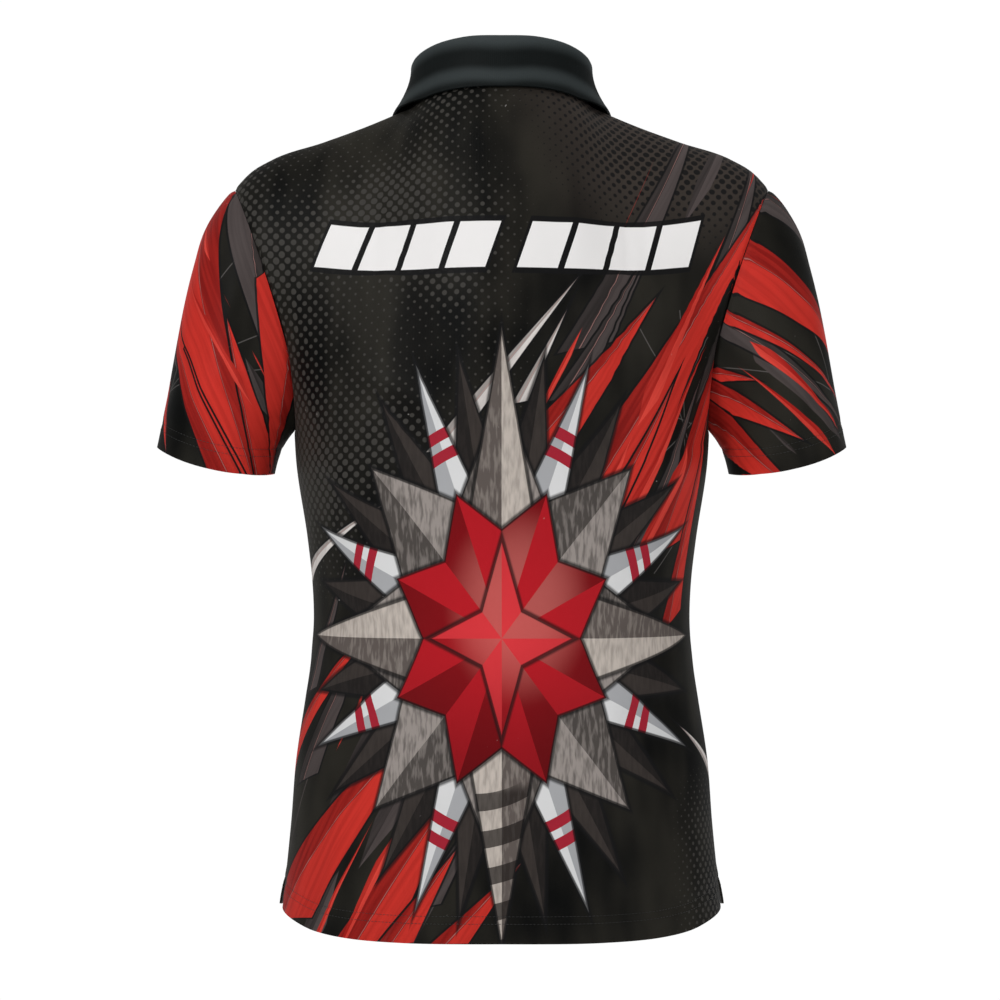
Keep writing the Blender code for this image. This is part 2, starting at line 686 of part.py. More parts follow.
def collar_column(angle, tree):
    """The collar's middle surface at one place round the neck: up the stand, over the fold, down the fall."""
    rise, edge_x, edge_y, edge_z, lies = table_at(COLLAR_STATIONS, angle)
    seam, out, up = neck_point(angle), plan_normal(angle), np.array([0, 0, 1.0])
    half = COLLAR_CLOTH / 2
    at = lambda r, z: seam + out * r + up * z
    foot, head = at(-half, SEAM_GAP), at(-half - COLLAR_LEAN, rise - half - COLLAR_ROLL)
    path = [foot + (head - foot) * k / STAND_STEPS for k in range(STAND_STEPS)]
    for k in range(ROLL_STEPS + 1):
        turn = math.pi * (1 - k / ROLL_STEPS)
        path.append(head + out * COLLAR_ROLL * (1 + math.cos(turn)) + up * COLLAR_ROLL * math.sin(turn))
    start, end = path[-1], np.array([edge_x, edge_y, edge_z])
    margin = COLLAR_CLEARANCE + half
    centre = (0.0, 0.0, min(-0.06, edge_z - 0.03))
    lying = np.clip(lies, 0, 1)
    if lying > 0:
        hit = tree.ray_cast(Vector((edge_x, -0.3, edge_z)), Vector((0, 1, 0)))[0]
        if hit is not None:
            end[1] += lying * (hit.y - margin - end[1])
    end = cleared(end, tree, centre, margin + cover(end))
    length = float(np.linalg.norm(end - start))
    leave = start - up * 0.35 * length
    arrive = end - unit(end - start + out * 0.25 * length) * 0.35 * length
    for k in range(1, FALL_STEPS + 1):
        point = bezier(start, leave, arrive, end, k / FALL_STEPS)
        path.append(cleared(point, tree, centre, margin + cover(point)))
    return path


def cover(point):
    """How much higher the collar lies where it crosses the placket."""
    return 0.0022 * (1 - ease((abs(point[0]) - 0.018) / 0.008)) if point[1] < 0 else 0.0


def collar(back, front, looks):
    tree = surface_tree(back, front)
    centre = front.shape[1] // 2
    angles = [90.0 * k / NECK_COLUMNS for k in range(NECK_COLUMNS + 1)]
    seam_x = [*front[-1, centre + NECK_COLUMNS - 1 : centre : -1, 0], COLLAR_END_X]
    angles += [180.0 - math.degrees(math.asin(x / NECK_HALF_WIDTH)) for x in seam_x]
    half = np.array([collar_column(a, tree) for a in angles]).transpose(1, 0, 2)
    middle = np.concatenate([half[:, :0:-1] * [-1, 1, 1], half], axis=1)
    normals = unit(np.cross(np.gradient(middle, axis=1), np.gradient(middle, axis=0)))
    if normals[-1, len(angles) - 1] @ [0, 1, 0] < 0:
        normals = -normals
    step = normals * COLLAR_CLOTH / 2
    wall("collar", middle + step, middle - step, looks["collar"])


def main():
    for old in list(bpy.data.objects):
        bpy.data.objects.remove(old)
    looks = {
        "cloth": material("cloth", (0.020, 0.020, 0.021), 0.62),
        "collar": material("collar", (0.012, 0.014, 0.015), 0.70),
        "button": material("button", (0.018, 0.018, 0.019), 0.35),
    }
    back, front = panel_grid(BACK), panel_grid(FRONT)
    sleeve = sleeve_grid(armhole_loop(back, front))
    front_out = panel_walls(back, front, sleeve, looks)
    placket(front, front_out, looks)
    collar(back, front, looks)


main()
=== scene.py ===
"""The looks of the bowling shirt: thin shells on the solids' form, printed knit cloth, stitches, light and a
camera."""

import math
from collections import namedtuple

import bmesh
import bpy
import numpy as np
from mathutils import Matrix, Vector
from mathutils.bvhtree import BVHTree
from mathutils.geometry import tessellate_polygon


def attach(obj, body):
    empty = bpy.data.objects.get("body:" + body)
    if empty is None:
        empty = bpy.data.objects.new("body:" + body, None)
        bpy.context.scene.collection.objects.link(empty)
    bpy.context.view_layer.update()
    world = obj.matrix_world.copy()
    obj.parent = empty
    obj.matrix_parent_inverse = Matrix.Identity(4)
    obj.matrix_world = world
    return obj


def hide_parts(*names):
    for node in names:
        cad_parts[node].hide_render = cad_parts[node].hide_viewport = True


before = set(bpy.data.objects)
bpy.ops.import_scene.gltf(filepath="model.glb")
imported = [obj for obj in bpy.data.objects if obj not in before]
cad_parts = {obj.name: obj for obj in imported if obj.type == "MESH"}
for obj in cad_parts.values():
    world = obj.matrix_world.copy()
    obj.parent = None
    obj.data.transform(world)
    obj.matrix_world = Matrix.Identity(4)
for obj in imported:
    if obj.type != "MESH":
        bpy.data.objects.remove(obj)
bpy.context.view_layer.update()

# ======================================================================================
# Sizes, in metres. They are the solids' own, with finer cloth.
# ======================================================================================
CLOTH = 0.0009
HEM_CLOTH = 0.0018
COLLAR_CLOTH = 0.0016
SEAM_GAP = 0.0002
SEAM_SINK = 0.0011
SEAM_ROLL = 0.0026
SEAM_CALM = 0.022  # folds fade out this close to a seam
HEM_GROOVE = 0.00055  # the dent along a hem's stitches
GROOVE_WIDTH = 0.0022
BODY_SWELL = 0.0007
SLEEVE_SWELL = 0.0006
COLLAR_SWELL = 0.0005
SWELL_LENGTHS = (0.19, 0.13, 0.085, 0.055)

UNDERARM_Z = -0.2785
LEVEL_DIP = 0.0300
HEM_SIDE_Z = -0.6815
HEM_DEPTH = 0.0230
SECTION_ROUNDNESS = 2.25
VENT_HEIGHT = 0.0420
VENT_OPENING = 0.0055
VENT_FLARE = 0.0035

# height, half_width, back_depth, front_depth
BODY_SECTIONS = [
    (-0.7000, 0.1875, 0.1210, 0.1210),
    (-0.6610, 0.1835, 0.1195, 0.1200),
    (-0.6100, 0.1785, 0.1175, 0.1205),
    (-0.5590, 0.1745, 0.1150, 0.1220),
    (-0.5080, 0.1668, 0.1130, 0.1240),
    (-0.4700, 0.1612, 0.1125, 0.1265),
    (-0.4400, 0.1594, 0.1140, 0.1290),
    (-0.4060, 0.1607, 0.1170, 0.1315),
    (-0.3720, 0.1645, 0.1210, 0.1335),
    (-0.3040, 0.1743, 0.1270, 0.1360),
    (-0.2785, 0.1757, 0.1280, 0.1360),
    (-0.2500, 0.1765, 0.1285, 0.1355),
]
# across, back_dip, front_dip
HEM_POINTS = [
    (0.00, 0.0155, 0.0100),
    (0.25, 0.0158, 0.0100),
    (0.45, 0.0146, 0.0092),
    (0.60, 0.0115, 0.0075),
    (0.75, 0.0060, 0.0042),
    (0.87, 0.0026, 0.0018),
    (1.00, 0.0000, 0.0000),
]

NECK_HALF_WIDTH = 0.0740
NECK_BACK_Y = 0.0600
NECK_FRONT_Y = 0.0740
NECK_SIDE_Z = -0.0030
NECK_BACK_RISE = 0.0150
NECK_FRONT_DROP = 0.0660
# across, height
SHOULDER_RIDGE = [
    (0.0740, -0.0030),
    (0.0900, -0.0098),
    (0.1054, -0.0166),
    (0.1500, -0.0336),
    (0.1955, -0.0493),
    (0.2145, -0.0608),
    (0.2275, -0.0745),
]
SHOULDER_END_X = 0.2275
NECK_SHARE = 0.38
CORNER_BLEND = 0.16
# The cloth below the neck's corners is drawn smooth: how often, how wide as a share of the panel, how far down.
CORNER_ROUNDS = 70
CORNER_SPREAD = 0.13
CORNER_REACH = 0.110
# across, lift_x, lift_y, lift_z, arrive_x, arrive_y, arrive_z
BACK_HANDLES = [
    (0.00, 0.0000, 0.0060, 0.1300, 0.0000, 0.0430, -0.0640),
    (0.38, 0.0010, 0.0045, 0.1200, 0.0300, 0.0520, -0.0290),
    (0.69, 0.0030, 0.0140, 0.1000, 0.0090, 0.0670, -0.0135),
    (0.88, -0.0010, 0.0360, 0.0620, -0.0010, 0.0740, -0.0088),
    (1.00, -0.0230, 0.0640, 0.0180, -0.0100, 0.0770, -0.0080),
]
FRONT_HANDLES = [
    (0.00, 0.0000, -0.0040, 0.0900, 0.0000, -0.0340, -0.0560),
    (0.38, 0.0010, -0.0045, 0.1100, 0.0300, -0.0480, -0.0350),
    (0.69, 0.0030, -0.0120, 0.0950, 0.0090, -0.0600, -0.0185),
    (0.88, -0.0020, -0.0320, 0.0600, -0.0060, -0.0640, -0.0120),
    (1.00, -0.0270, -0.0560, 0.0170, -0.0140, -0.0650, -0.0110),
]

CUFF_CENTRE = (0.2430, -0.0030, -0.3045)
CUFF_HALF_WIDTH = 0.0508
CUFF_HALF_DEPTH = 0.0620
CUFF_SLOPE = math.radians(13.0)
CUFF_DIP = 0.0080
SLEEVE_HEM_DEPTH = 0.0220
SLEEVE_LENGTH = 0.20
SLEEVE_GIRTH = 0.40
# around, leave_x, leave_y, leave_z, arrive_x, arrive_y, arrive_z
SLEEVE_HANDLES = [
    (0.00, 0.0120, 0.0000, -0.0130, -0.0035, 0.0000, 0.0150),
    (0.12, 0.0250, 0.0020, -0.0200, -0.0050, 0.0000, 0.0300),
    (0.25, 0.0480, 0.0140, -0.0420, -0.0120, 0.0020, 0.0600),
    (0.38, 0.0500, 0.0100, -0.0480, -0.0150, 0.0030, 0.0800),
    (0.50, 0.0400, 0.0000, -0.0340, -0.0210, 0.0000, 0.0950),
    (0.62, 0.0480, -0.0080, -0.0480, -0.0150, -0.0030, 0.0800),
    (0.75, 0.0440, -0.0120, -0.0420, -0.0120, -0.0020, 0.0600),
    (0.88, 0.0240, -0.0020, -0.0200, -0.0050, 0.0000, 0.0300),
    (1.00, 0.0120, 0.0000, -0.0130, -0.0035, 0.0000, 0.0150),
]

# angle, rise, edge_x, edge_y, edge_z, lies
COLLAR_STATIONS = [
    (-25.0, 0.0374, -0.0335, 0.0612, 0.0024, 0.0),
    (0.0, 0.0352, 0.0000, 0.0680, 0.0034, 0.0),
    (25.0, 0.0374, 0.0335, 0.0612, 0.0024, 0.0),
    (50.0, 0.0390, 0.0635, 0.0420, -0.0023, 0.0),
    (70.0, 0.0378, 0.0805, 0.0235, -0.0052, 0.0),
    (90.0, 0.0345, 0.0910, -0.0010, -0.0088, 0.0),
    (105.0, 0.0365, 0.0950, -0.0240, -0.0175, 1.0),
    (120.0, 0.0385, 0.0950, -0.0450, -0.0300, 1.0),
    (150.0, 0.0350, 0.0790, -0.0800, -0.0700, 1.0),
    (180.0, 0.0290, 0.0440, -0.1050, -0.1180, 1.0),
]
COLLAR_LEAN = 0.0028
COLLAR_ROLL = 0.0030
COLLAR_CLEARANCE = 0.0018
COLLAR_END_X = 0.0012
COLLAR_OVER_PLACKET = 0.0022

PLACKET_HALF_WIDTH = 0.0165
SLOT_HALF_WIDTH = 0.0140
PLACKET_LENGTH = 0.1500
PLACKET_CLOTH = 0.0014
PLACKET_OVERLAP = 0.0080
PLACKET_HEAD_GAP = 0.0010
PLACKET_SEWN_IN = 0.0022  # its stitches lie this far inside its edges
BUTTON_RADIUS = 0.0055
BUTTON_THICKNESS = 0.0024
BUTTON_HOLE_RADIUS = 0.0008
BUTTON_HOLE_SPREAD = 0.0014
BUTTON_LIFT = 0.0006
BUTTON_DROPS = (0.0200, 0.0700, 0.1200)

STITCH_STEP = 0.0031
STITCH_LENGTH = 0.0024
THREAD_RADIUS = 0.00022
TWIN_ROWS = 0.0060
BELOW_HEM_TOP = 0.0008
BUTTONHOLE_STITCHES = (0.00045, 0.0009, 0.00030)  # step, length, radius

# The folds of the solids, then the softer creases. They run from the first point to the second.
Fold = namedtuple("Fold", "x0 z0 x1 z1 width depth")
BACK_FOLDS = [
    Fold(0.020, -0.150, 0.012, -0.400, 0.026, 0.0028),
    Fold(0.078, -0.130, 0.066, -0.330, 0.022, -0.0026),
    Fold(-0.030, -0.200, -0.044, -0.420, 0.024, -0.0020),
    Fold(-0.112, -0.170, -0.090, -0.340, 0.020, -0.0028),
    Fold(0.140, -0.250, 0.098, -0.420, 0.022, 0.0026),
    Fold(-0.140, -0.270, -0.110, -0.430, 0.020, 0.0024),
    Fold(0.150, -0.455, 0.080, -0.520, 0.018, 0.0030),
    Fold(-0.150, -0.465, -0.070, -0.540, 0.018, 0.0028),
    Fold(0.060, -0.520, 0.088, -0.680, 0.026, 0.0026),
    Fold(-0.050, -0.560, -0.078, -0.690, 0.028, 0.0022),
]
FRONT_FOLDS = [
    Fold(0.100, -0.200, 0.080, -0.420, 0.024, 0.0026),
    Fold(-0.100, -0.200, -0.076, -0.420, 0.024, 0.0026),
    Fold(0.145, -0.440, 0.070, -0.520, 0.020, 0.0030),
    Fold(-0.145, -0.440, -0.070, -0.530, 0.020, 0.0030),
    Fold(0.050, -0.520, 0.070, -0.690, 0.028, 0.0024),
    Fold(-0.060, -0.540, -0.082, -0.690, 0.028, 0.0024),
]
BACK_CREASES = [
    Fold(0.118, -0.232, 0.060, -0.262, 0.0085, 0.0024),
    Fold(0.150, -0.300, 0.096, -0.352, 0.0080, 0.0021),
    Fold(-0.128, -0.225, -0.070, -0.250, 0.0090, 0.0021),
    Fold(-0.156, -0.300, -0.108, -0.362, 0.0080, 0.0024),
    Fold(0.036, -0.060, 0.050, -0.150, 0.0120, 0.0018),
    Fold(-0.044, -0.055, -0.066, -0.140, 0.0120, 0.0019),
    Fold(0.140, -0.500, 0.052, -0.532, 0.0100, -0.0021),
    Fold(0.128, -0.414, 0.052, -0.452, 0.0090, 0.0019),
    Fold(-0.134, -0.418, -0.060, -0.462, 0.0100, 0.0023),
    Fold(-0.142, -0.502, -0.034, -0.544, 0.0105, -0.0019),
    Fold(0.020, -0.455, -0.030, -0.500, 0.0110, 0.0014),
    Fold(0.126, -0.575, 0.140, -0.676, 0.0110, 0.0025),
    Fold(0.032, -0.600, 0.038, -0.688, 0.0120, -0.0019),
    Fold(-0.110, -0.590, -0.126, -0.682, 0.0110, 0.0024),
    Fold(-0.018, -0.610, -0.022, -0.690, 0.0130, 0.0016),
]
FRONT_CREASES = [
    Fold(0.130, -0.230, 0.074, -0.262, 0.0090, 0.0024),
    Fold(-0.126, -0.236, -0.066, -0.262, 0.0090, 0.0023),
    Fold(0.148, -0.308, 0.100, -0.366, 0.0085, 0.0023),
    Fold(-0.150, -0.302, -0.094, -0.352, 0.0085, 0.0024),
    Fold(0.060, -0.110, 0.074, -0.190, 0.0130, 0.0018),
    Fold(-0.056, -0.112, -0.080, -0.196, 0.0130, 0.0019),
    Fold(0.134, -0.412, 0.040, -0.456, 0.0100, 0.0019),
    Fold(-0.130, -0.420, -0.050, -0.458, 0.0100, 0.0021),
    Fold(0.140, -0.500, 0.030, -0.548, 0.0105, -0.0019),
    Fold(-0.138, -0.506, -0.040, -0.540, 0.0105, -0.0018),
    Fold(0.120, -0.590, 0.134, -0.684, 0.0110, 0.0024),
    Fold(-0.106, -0.580, -0.122, -0.684, 0.0110, 0.0025),
    Fold(0.010, -0.600, 0.016, -0.690, 0.0130, 0.0018),
]
SLEEVE_FOLDS = [
    Fold(0.218, -0.140, 0.236, -0.262, 0.013, 0.0022),
    Fold(0.246, -0.135, 0.262, -0.255, 0.012, -0.0020),
]
# around0 and around1 go round the sleeve, along0 and along1 down it from the armhole, both as shares.
SleeveFold = namedtuple("SleeveFold", "around0 along0 around1 along1 width depth")
LEFT_SLEEVE_CREASES = [
    SleeveFold(0.20, 0.10, 0.34, 0.86, 0.013, 0.0016),
    SleeveFold(0.30, 0.18, 0.42, 0.80, 0.012, -0.0014),
    SleeveFold(0.08, 0.30, 0.24, 0.62, 0.009, 0.0015),
    SleeveFold(0.60, 0.16, 0.70, 0.84, 0.013, 0.0015),
    SleeveFold(0.74, 0.22, 0.82, 0.80, 0.011, -0.0013),
    SleeveFold(0.90, 0.34, 0.78, 0.62, 0.009, 0.0013),
]
RIGHT_SLEEVE_CREASES = [
    SleeveFold(0.24, 0.08, 0.30, 0.84, 0.014, 0.0022),
    SleeveFold(0.36, 0.14, 0.40, 0.80, 0.012, -0.0018),
    SleeveFold(0.14, 0.24, 0.20, 0.74, 0.011, -0.0014),
    SleeveFold(0.16, 0.80, 0.42, 0.74, 0.010, -0.0014),
    SleeveFold(0.60, 0.18, 0.68, 0.80, 0.013, 0.0016),
    SleeveFold(0.80, 0.20, 0.74, 0.78, 0.012, -0.0014),
]

BACK, FRONT = 1, -1

# Rows and columns of the panels' grids, and shares close to an edge that get a row or column of their own.
NECK_COLUMNS, SHOULDER_COLUMNS = 27, 31
HEM_ROWS, LOWER_ROWS, UPPER_ROWS = 7, 84, 57
CLOSE_TO_SIDE = (0.004, 0.009, 0.016, 0.026)
CLOSE_TO_TOP = (0.004, 0.009, 0.02)
SLOT_COLUMN = 0.055
SLEEVE_COLUMNS = 112
SLEEVE_ROWS = (0, 0.006, 0.014, 0.024, 0.036)
COLLAR_COLUMNS = 66
STAND_ROWS, ROLL_ROWS, FALL_ROWS = 6, 10, 20


# ======================================================================================
# Form
# ======================================================================================
def table_at(table, at):
    """Rows of a table, without its first column, at many places: a cubic through the values."""
    rows = np.array(table, float)
    places, values = rows[:, 0], rows[:, 1:]
    slopes = np.gradient(values, places, axis=0)
    at = np.clip(np.atleast_1d(np.asarray(at, float)), places[0], places[-1])
    i = np.clip(np.searchsorted(places, at) - 1, 0, len(places) - 2)
    span = (places[i + 1] - places[i])[..., None]
    u = (at[..., None] - places[i][..., None]) / span
    return (
        (2 * u**3 - 3 * u**2 + 1) * values[i]
        + (u**3 - 2 * u**2 + u) * span * slopes[i]
        + (3 * u**2 - 2 * u**3) * values[i + 1]
        + (u**3 - u**2) * span * slopes[i + 1]
    )


def unit(vectors):
    """The vectors' directions."""
    return vectors / np.maximum(np.linalg.norm(vectors, axis=-1, keepdims=True), 1e-12)


def ease(value):
    """From 0 to 1 with soft ends."""
    u = np.clip(value, 0, 1)
    return u * u * (3 - 2 * u)


def swell_at(distance, width):
    """1 at no distance, and soon 0 past the width."""
    return np.exp(-((distance / width) ** 2))


def curve(u, start, leave, arrive, end):
    """Places along a cubic curve with two handles."""
    return (
        (1 - u) ** 3 * start + 3 * (1 - u) ** 2 * u * leave + 3 * (1 - u) * u**2 * arrive + u**3 * end
    )


def lengths_along(grid, axis):
    """Distances from the first point of each row or column."""
    steps = np.linalg.norm(np.diff(grid, axis=axis), axis=-1).cumsum(axis=axis)
    return np.concatenate([np.zeros_like(np.take(steps, [0], axis)), steps], axis)


def line_at(places, along, line):
    """Points of a line at given places, where along says how far each of its points is."""
    return np.stack([np.interp(places, along, line[:, k]) for k in range(3)], -1)


def neck_points(angles):
    """The neck seam at angles in degrees from the back centre, towards +X."""
    turn = np.radians(angles)
    along, across = np.cos(turn), np.sin(turn)
    y = np.where(along >= 0, NECK_BACK_Y, NECK_FRONT_Y) * along
    rise = NECK_BACK_RISE * along**2
    drop = -NECK_FRONT_DROP * np.abs(along) ** 1.4
    return np.stack([NECK_HALF_WIDTH * across, y, NECK_SIDE_Z + np.where(along >= 0, rise, drop)], -1)


def ring_points(height, across, side):
    """Points round the body at given heights."""
    sizes = table_at(BODY_SECTIONS, height)
    depth = sizes[:, 1] if side == BACK else sizes[:, 2]
    angle = np.abs(across) * math.pi / 2
    x = sizes[:, 0] * np.sin(angle) ** (2 / SECTION_ROUNDNESS)
    y = depth * np.maximum(0, np.cos(angle)) ** (2 / SECTION_ROUNDNESS)
    return np.stack([x, side * np.maximum(y, SEAM_GAP / 2), height], -1)


def level_heights(across):
    """Where the body below turns into the shoulders above: lower in the middle."""
    return UNDERARM_Z - LEVEL_DIP * (1 - across**4)


def lower_points(across, share, side):
    """Points from the hem (share 0) to the underarm's level (1)."""
    dips = table_at(HEM_POINTS, across)
    hem = HEM_SIDE_Z - (dips[:, 0] if side == BACK else dips[:, 1])
    height = hem + share * (level_heights(across) - hem)
    points = ring_points(height, across, side)
    vent = ease((HEM_SIDE_Z + VENT_HEIGHT - height) / VENT_HEIGHT) * across**10
    points[:, 1] += side * vent * VENT_OPENING / 2
    if side == FRONT:
        points[:, 0] += vent * VENT_FLARE
    return points


def fibre_points(across, share, side):
    """Points from the underarm's level (share 0) to the neck or shoulder seam (1), before the corner is blended."""
    quarter = 90.0 * np.minimum(across / NECK_SHARE, 1)
    neck = neck_points(quarter if side == BACK else 180.0 - quarter)
    x = NECK_HALF_WIDTH + np.clip((across - NECK_SHARE) / (1 - NECK_SHARE), 0, 1) * (
        SHOULDER_END_X - NECK_HALF_WIDTH
    )
    ridge = np.stack([x, np.full_like(x, side * SEAM_GAP / 2), table_at(SHOULDER_RIDGE, x)[:, 0]], -1)
    end = np.where((across <= NECK_SHARE)[:, None], neck, ridge)
    handles = table_at(BACK_HANDLES if side == BACK else FRONT_HANDLES, across)
    start = ring_points(level_heights(across), across, side)
    return curve(share[:, None], start, start + handles[:, :3], end + handles[:, 3:], end)


def upper_points(across, share, side):
    """Points above the underarm's level, with the corner of the neck seam blended in."""
    reach = CORNER_BLEND * ease((1 - share) / 0.35) * ease(across / 0.15) * ease((1 - across) / 0.25)
    taps = ((-1.0, 1), (-0.5, 4), (0.0, 6), (0.5, 4), (1.0, 1))
    return sum(w * fibre_points(across + reach * t, share, side) for t, w in taps) / 16


def panel_points(across, up, side):
    """Points of the front or back. across runs -1 to 1; up is 0 hem, 1 underarm, 2 top."""
    across, up = (np.asarray(a, float).ravel() for a in np.broadcast_arrays(across, up))
    half = np.abs(across)
    low = up <= 1
    points = np.empty((len(half), 3))
    points[low] = lower_points(half[low], up[low], side)
    points[~low] = upper_points(half[~low], up[~low] - 1, side)
    points[:, 0] = np.copysign(points[:, 0], across)
    return points


def finer_towards_one(count, close):
    """Even places from 0 to 1, and a few more close to 1."""
    return np.unique(np.concatenate([np.linspace(0, 1, count), 1 - np.array(close)]).round(6))


def surface_normals(grid, hint):
    """Directions square to a grid, on the side of the hint."""
    normals = unit(np.cross(np.gradient(grid, axis=1), np.gradient(grid, axis=0)))
    return normals * np.sign(np.median((normals * hint).sum(-1)))


def fold_heights(x, z, folds):
    """How far the folds lift the cloth at each place."""
    total = np.zeros_like(x)
    for f in folds:
        along = np.array([f.x1 - f.x0, f.z1 - f.z0])
        share = ((x - f.x0) * along[0] + (z - f.z0) * along[1]) / (along @ along)
        held = np.clip(share, 0, 1)
        away = np.hypot(x - f.x0 - held * along[0], z - f.z0 - held * along[1])
        fade = ease(0.5 + 2 * share) * ease(0.5 + 2 * (1 - share))
        total += f.depth * fade * swell_at(away, f.width)
    return total


def wander(a, b, seed):
    """Slow, uneven swells of the cloth, about 1 at most."""
    rng = np.random.default_rng(seed)
    total = np.zeros_like(a)
    for scale in SWELL_LENGTHS:
        for _ in range(3):
            turn, phase = rng.uniform(0, math.pi), rng.uniform(0, 2 * math.pi)
            wave = 2 * math.pi / (scale * rng.uniform(0.8, 1.25))
            total += np.sin(wave * (a * math.cos(turn) + b * math.sin(turn) * 0.7) + phase) * scale
    return total / 1.4


def row_places(grid, centre):
    """A first guess of each point's place on the flat cloth: metres along its row, and metres up."""
    u = lengths_along(grid, 1)
    u -= u[:, [centre]]
    tangent = unit(np.gradient(grid, axis=1))
    step = np.diff(grid, axis=0)
    step -= (step * tangent[1:]).sum(-1, keepdims=True) * tangent[1:]
    v = np.concatenate([np.zeros((1, grid.shape[1])), np.linalg.norm(step, axis=2).cumsum(axis=0)])
    return u, v


def flattened(grid, u, v):
    """The places on the flat cloth, moved until lengths between neighbours match the form's."""
    every = slice(None)
    pairs = [
        ((every, slice(None, -1)), (every, slice(1, None))),
        ((slice(None, -1), every), (slice(1, None), every)),
        ((slice(None, -1), slice(None, -1)), (slice(1, None), slice(1, None))),
        ((slice(None, -1), slice(1, None)), (slice(1, None), slice(None, -1))),
    ]
    flat = np.stack([u, v], -1)
    for step, rounds in ((6, 1400), (2, 500), (1, 160)):  # coarse first
        rows, columns = (np.unique([*range(0, n, step), n - 1]) for n in flat.shape[:2])
        chosen = np.ix_(rows, columns)
        form, start = grid[chosen], flat[chosen]
        rests = [np.linalg.norm(form[q] - form[p], axis=-1) for p, q in pairs]
        now = start.copy()
        for _ in range(rounds):
            move = np.zeros_like(now)
            for (p, q), rest in zip(pairs, rests):
                gap = now[q] - now[p]
                length = np.maximum(np.linalg.norm(gap, axis=-1), 1e-9)
                push = gap * (0.2 * (length - rest) / length)[..., None]
                move[p] += push
                move[q] -= push
            now += move
        for axis in (0, 1):
            part = (now - start)[..., axis]
            wide = np.array([np.interp(np.arange(flat.shape[1]), columns, r) for r in part])
            flat[..., axis] += np.array([np.interp(np.arange(flat.shape[0]), rows, c) for c in wide.T]).T
    return flat[..., 0], flat[..., 1]


def flat_area(u, v):
    """The area of a flat grid, in square metres."""
    across = (u[1:, 1:] - u[:-1, :-1]) * (v[1:, :-1] - v[:-1, 1:])
    return float(abs(((u[1:, :-1] - u[:-1, 1:]) * (v[1:, 1:] - v[:-1, :-1]) - across).sum()) / 2)


def seam_sink(distance):
    """How far the cloth turns in at a seam."""
    return SEAM_SINK * swell_at(distance, SEAM_ROLL)


def hem_groove(distance, depth):
    """How far a hem's stitches pull the cloth in, at a distance from its edge."""
    return HEM_GROOVE * swell_at(distance - depth, GROOVE_WIDTH)


def eased_corner(grid, across):
    """Draws the cloth smooth below the corners where the neck seam meets the shoulder seams."""
    top = lengths_along(grid[::-1], 0)[::-1]
    share = swell_at(np.abs(across) - NECK_SHARE, CORNER_SPREAD)[None, :]
    share = (share * ease(top / 0.008) * ease((CORNER_REACH - top) / 0.05))[..., None]
    for _ in range(CORNER_ROUNDS):
        flat = grid.copy()
        flat[1:-1, 1:-1] = (grid[2:, 1:-1] + grid[:-2, 1:-1] + grid[1:-1, 2:] + grid[1:-1, :-2]) / 4
        grid = grid + (flat - grid) * share * 0.5
    return grid


def panel_grid(side):
    """The points of the front or back before its folds, and how far across each column is."""
    half = np.concatenate([
        np.linspace(0, NECK_SHARE, NECK_COLUMNS)[:-1],
        NECK_SHARE + (1 - NECK_SHARE) * finer_towards_one(SHOULDER_COLUMNS, CLOSE_TO_SIDE),
    ])
    across = np.concatenate([-half[:0:-1], half])
    hem = HEM_DEPTH / (UNDERARM_Z - HEM_SIDE_Z)
    lower = [np.linspace(0, hem, HEM_ROWS), [hem * 1.12], np.linspace(hem * 1.3, 1, LOWER_ROWS)]
    ups = np.concatenate([
        np.unique(np.concatenate(lower)), 1 + finer_towards_one(UPPER_ROWS, CLOSE_TO_TOP)[1:]
    ])
    points = panel_points(across[None, :], ups[:, None], side)
    grid = eased_corner(points.reshape(len(ups), len(across), 3), across)
    if side == FRONT:
        grid = set_slot_columns(grid, int(np.abs(half - SLOT_COLUMN).argmin()))
    return grid, across


def panel_sheet(side):
    """The outer points of the front or back, the outward directions, and the cloth places."""
    grid, across = panel_grid(side)
    hint = grid * [0.3, 1, 0]
    normals = surface_normals(grid, hint)
    centre = grid.shape[1] // 2
    u, v = row_places(grid, centre)
    edge = np.minimum(u[:, [-1]] - u, u - u[:, [0]])
    top = v[-1] - v
    room = ease(edge / SEAM_CALM) * ease(top / SEAM_CALM)
    soft_hem = 0.55 + 0.45 * ease(v / 0.05)
    folds, creases = (BACK_FOLDS, BACK_CREASES) if side == BACK else (FRONT_FOLDS, FRONT_CREASES)
    x, z = grid[..., 0], grid[..., 2]
    height = fold_heights(x, z, folds) + fold_heights(x, z, creases) * soft_hem
    height += BODY_SWELL * wander(x, z, 3 + side)
    if side == FRONT:  # flat under the placket
        height *= 1 - (1 - ease((np.abs(x) - 0.018) / 0.012)) * ease((z + 0.235) / 0.02)
    above_vent = v > VENT_HEIGHT + 0.004
    sink = seam_sink(edge) * above_vent + seam_sink(top) * (np.abs(across) > NECK_SHARE)[None, :]
    grid = grid + normals * (height * room - sink - hem_groove(v, HEM_DEPTH))[..., None]
    flat_u, flat_v = flattened(grid, u, v)
    facing = -1 if side == BACK else 1
    return {
        "points": grid, "out": surface_normals(grid, hint), "hem": v, "area": flat_area(flat_u, flat_v),
        "u": facing * (flat_u - flat_u[0, centre]), "v": flat_v - flat_v[0, centre],
    }


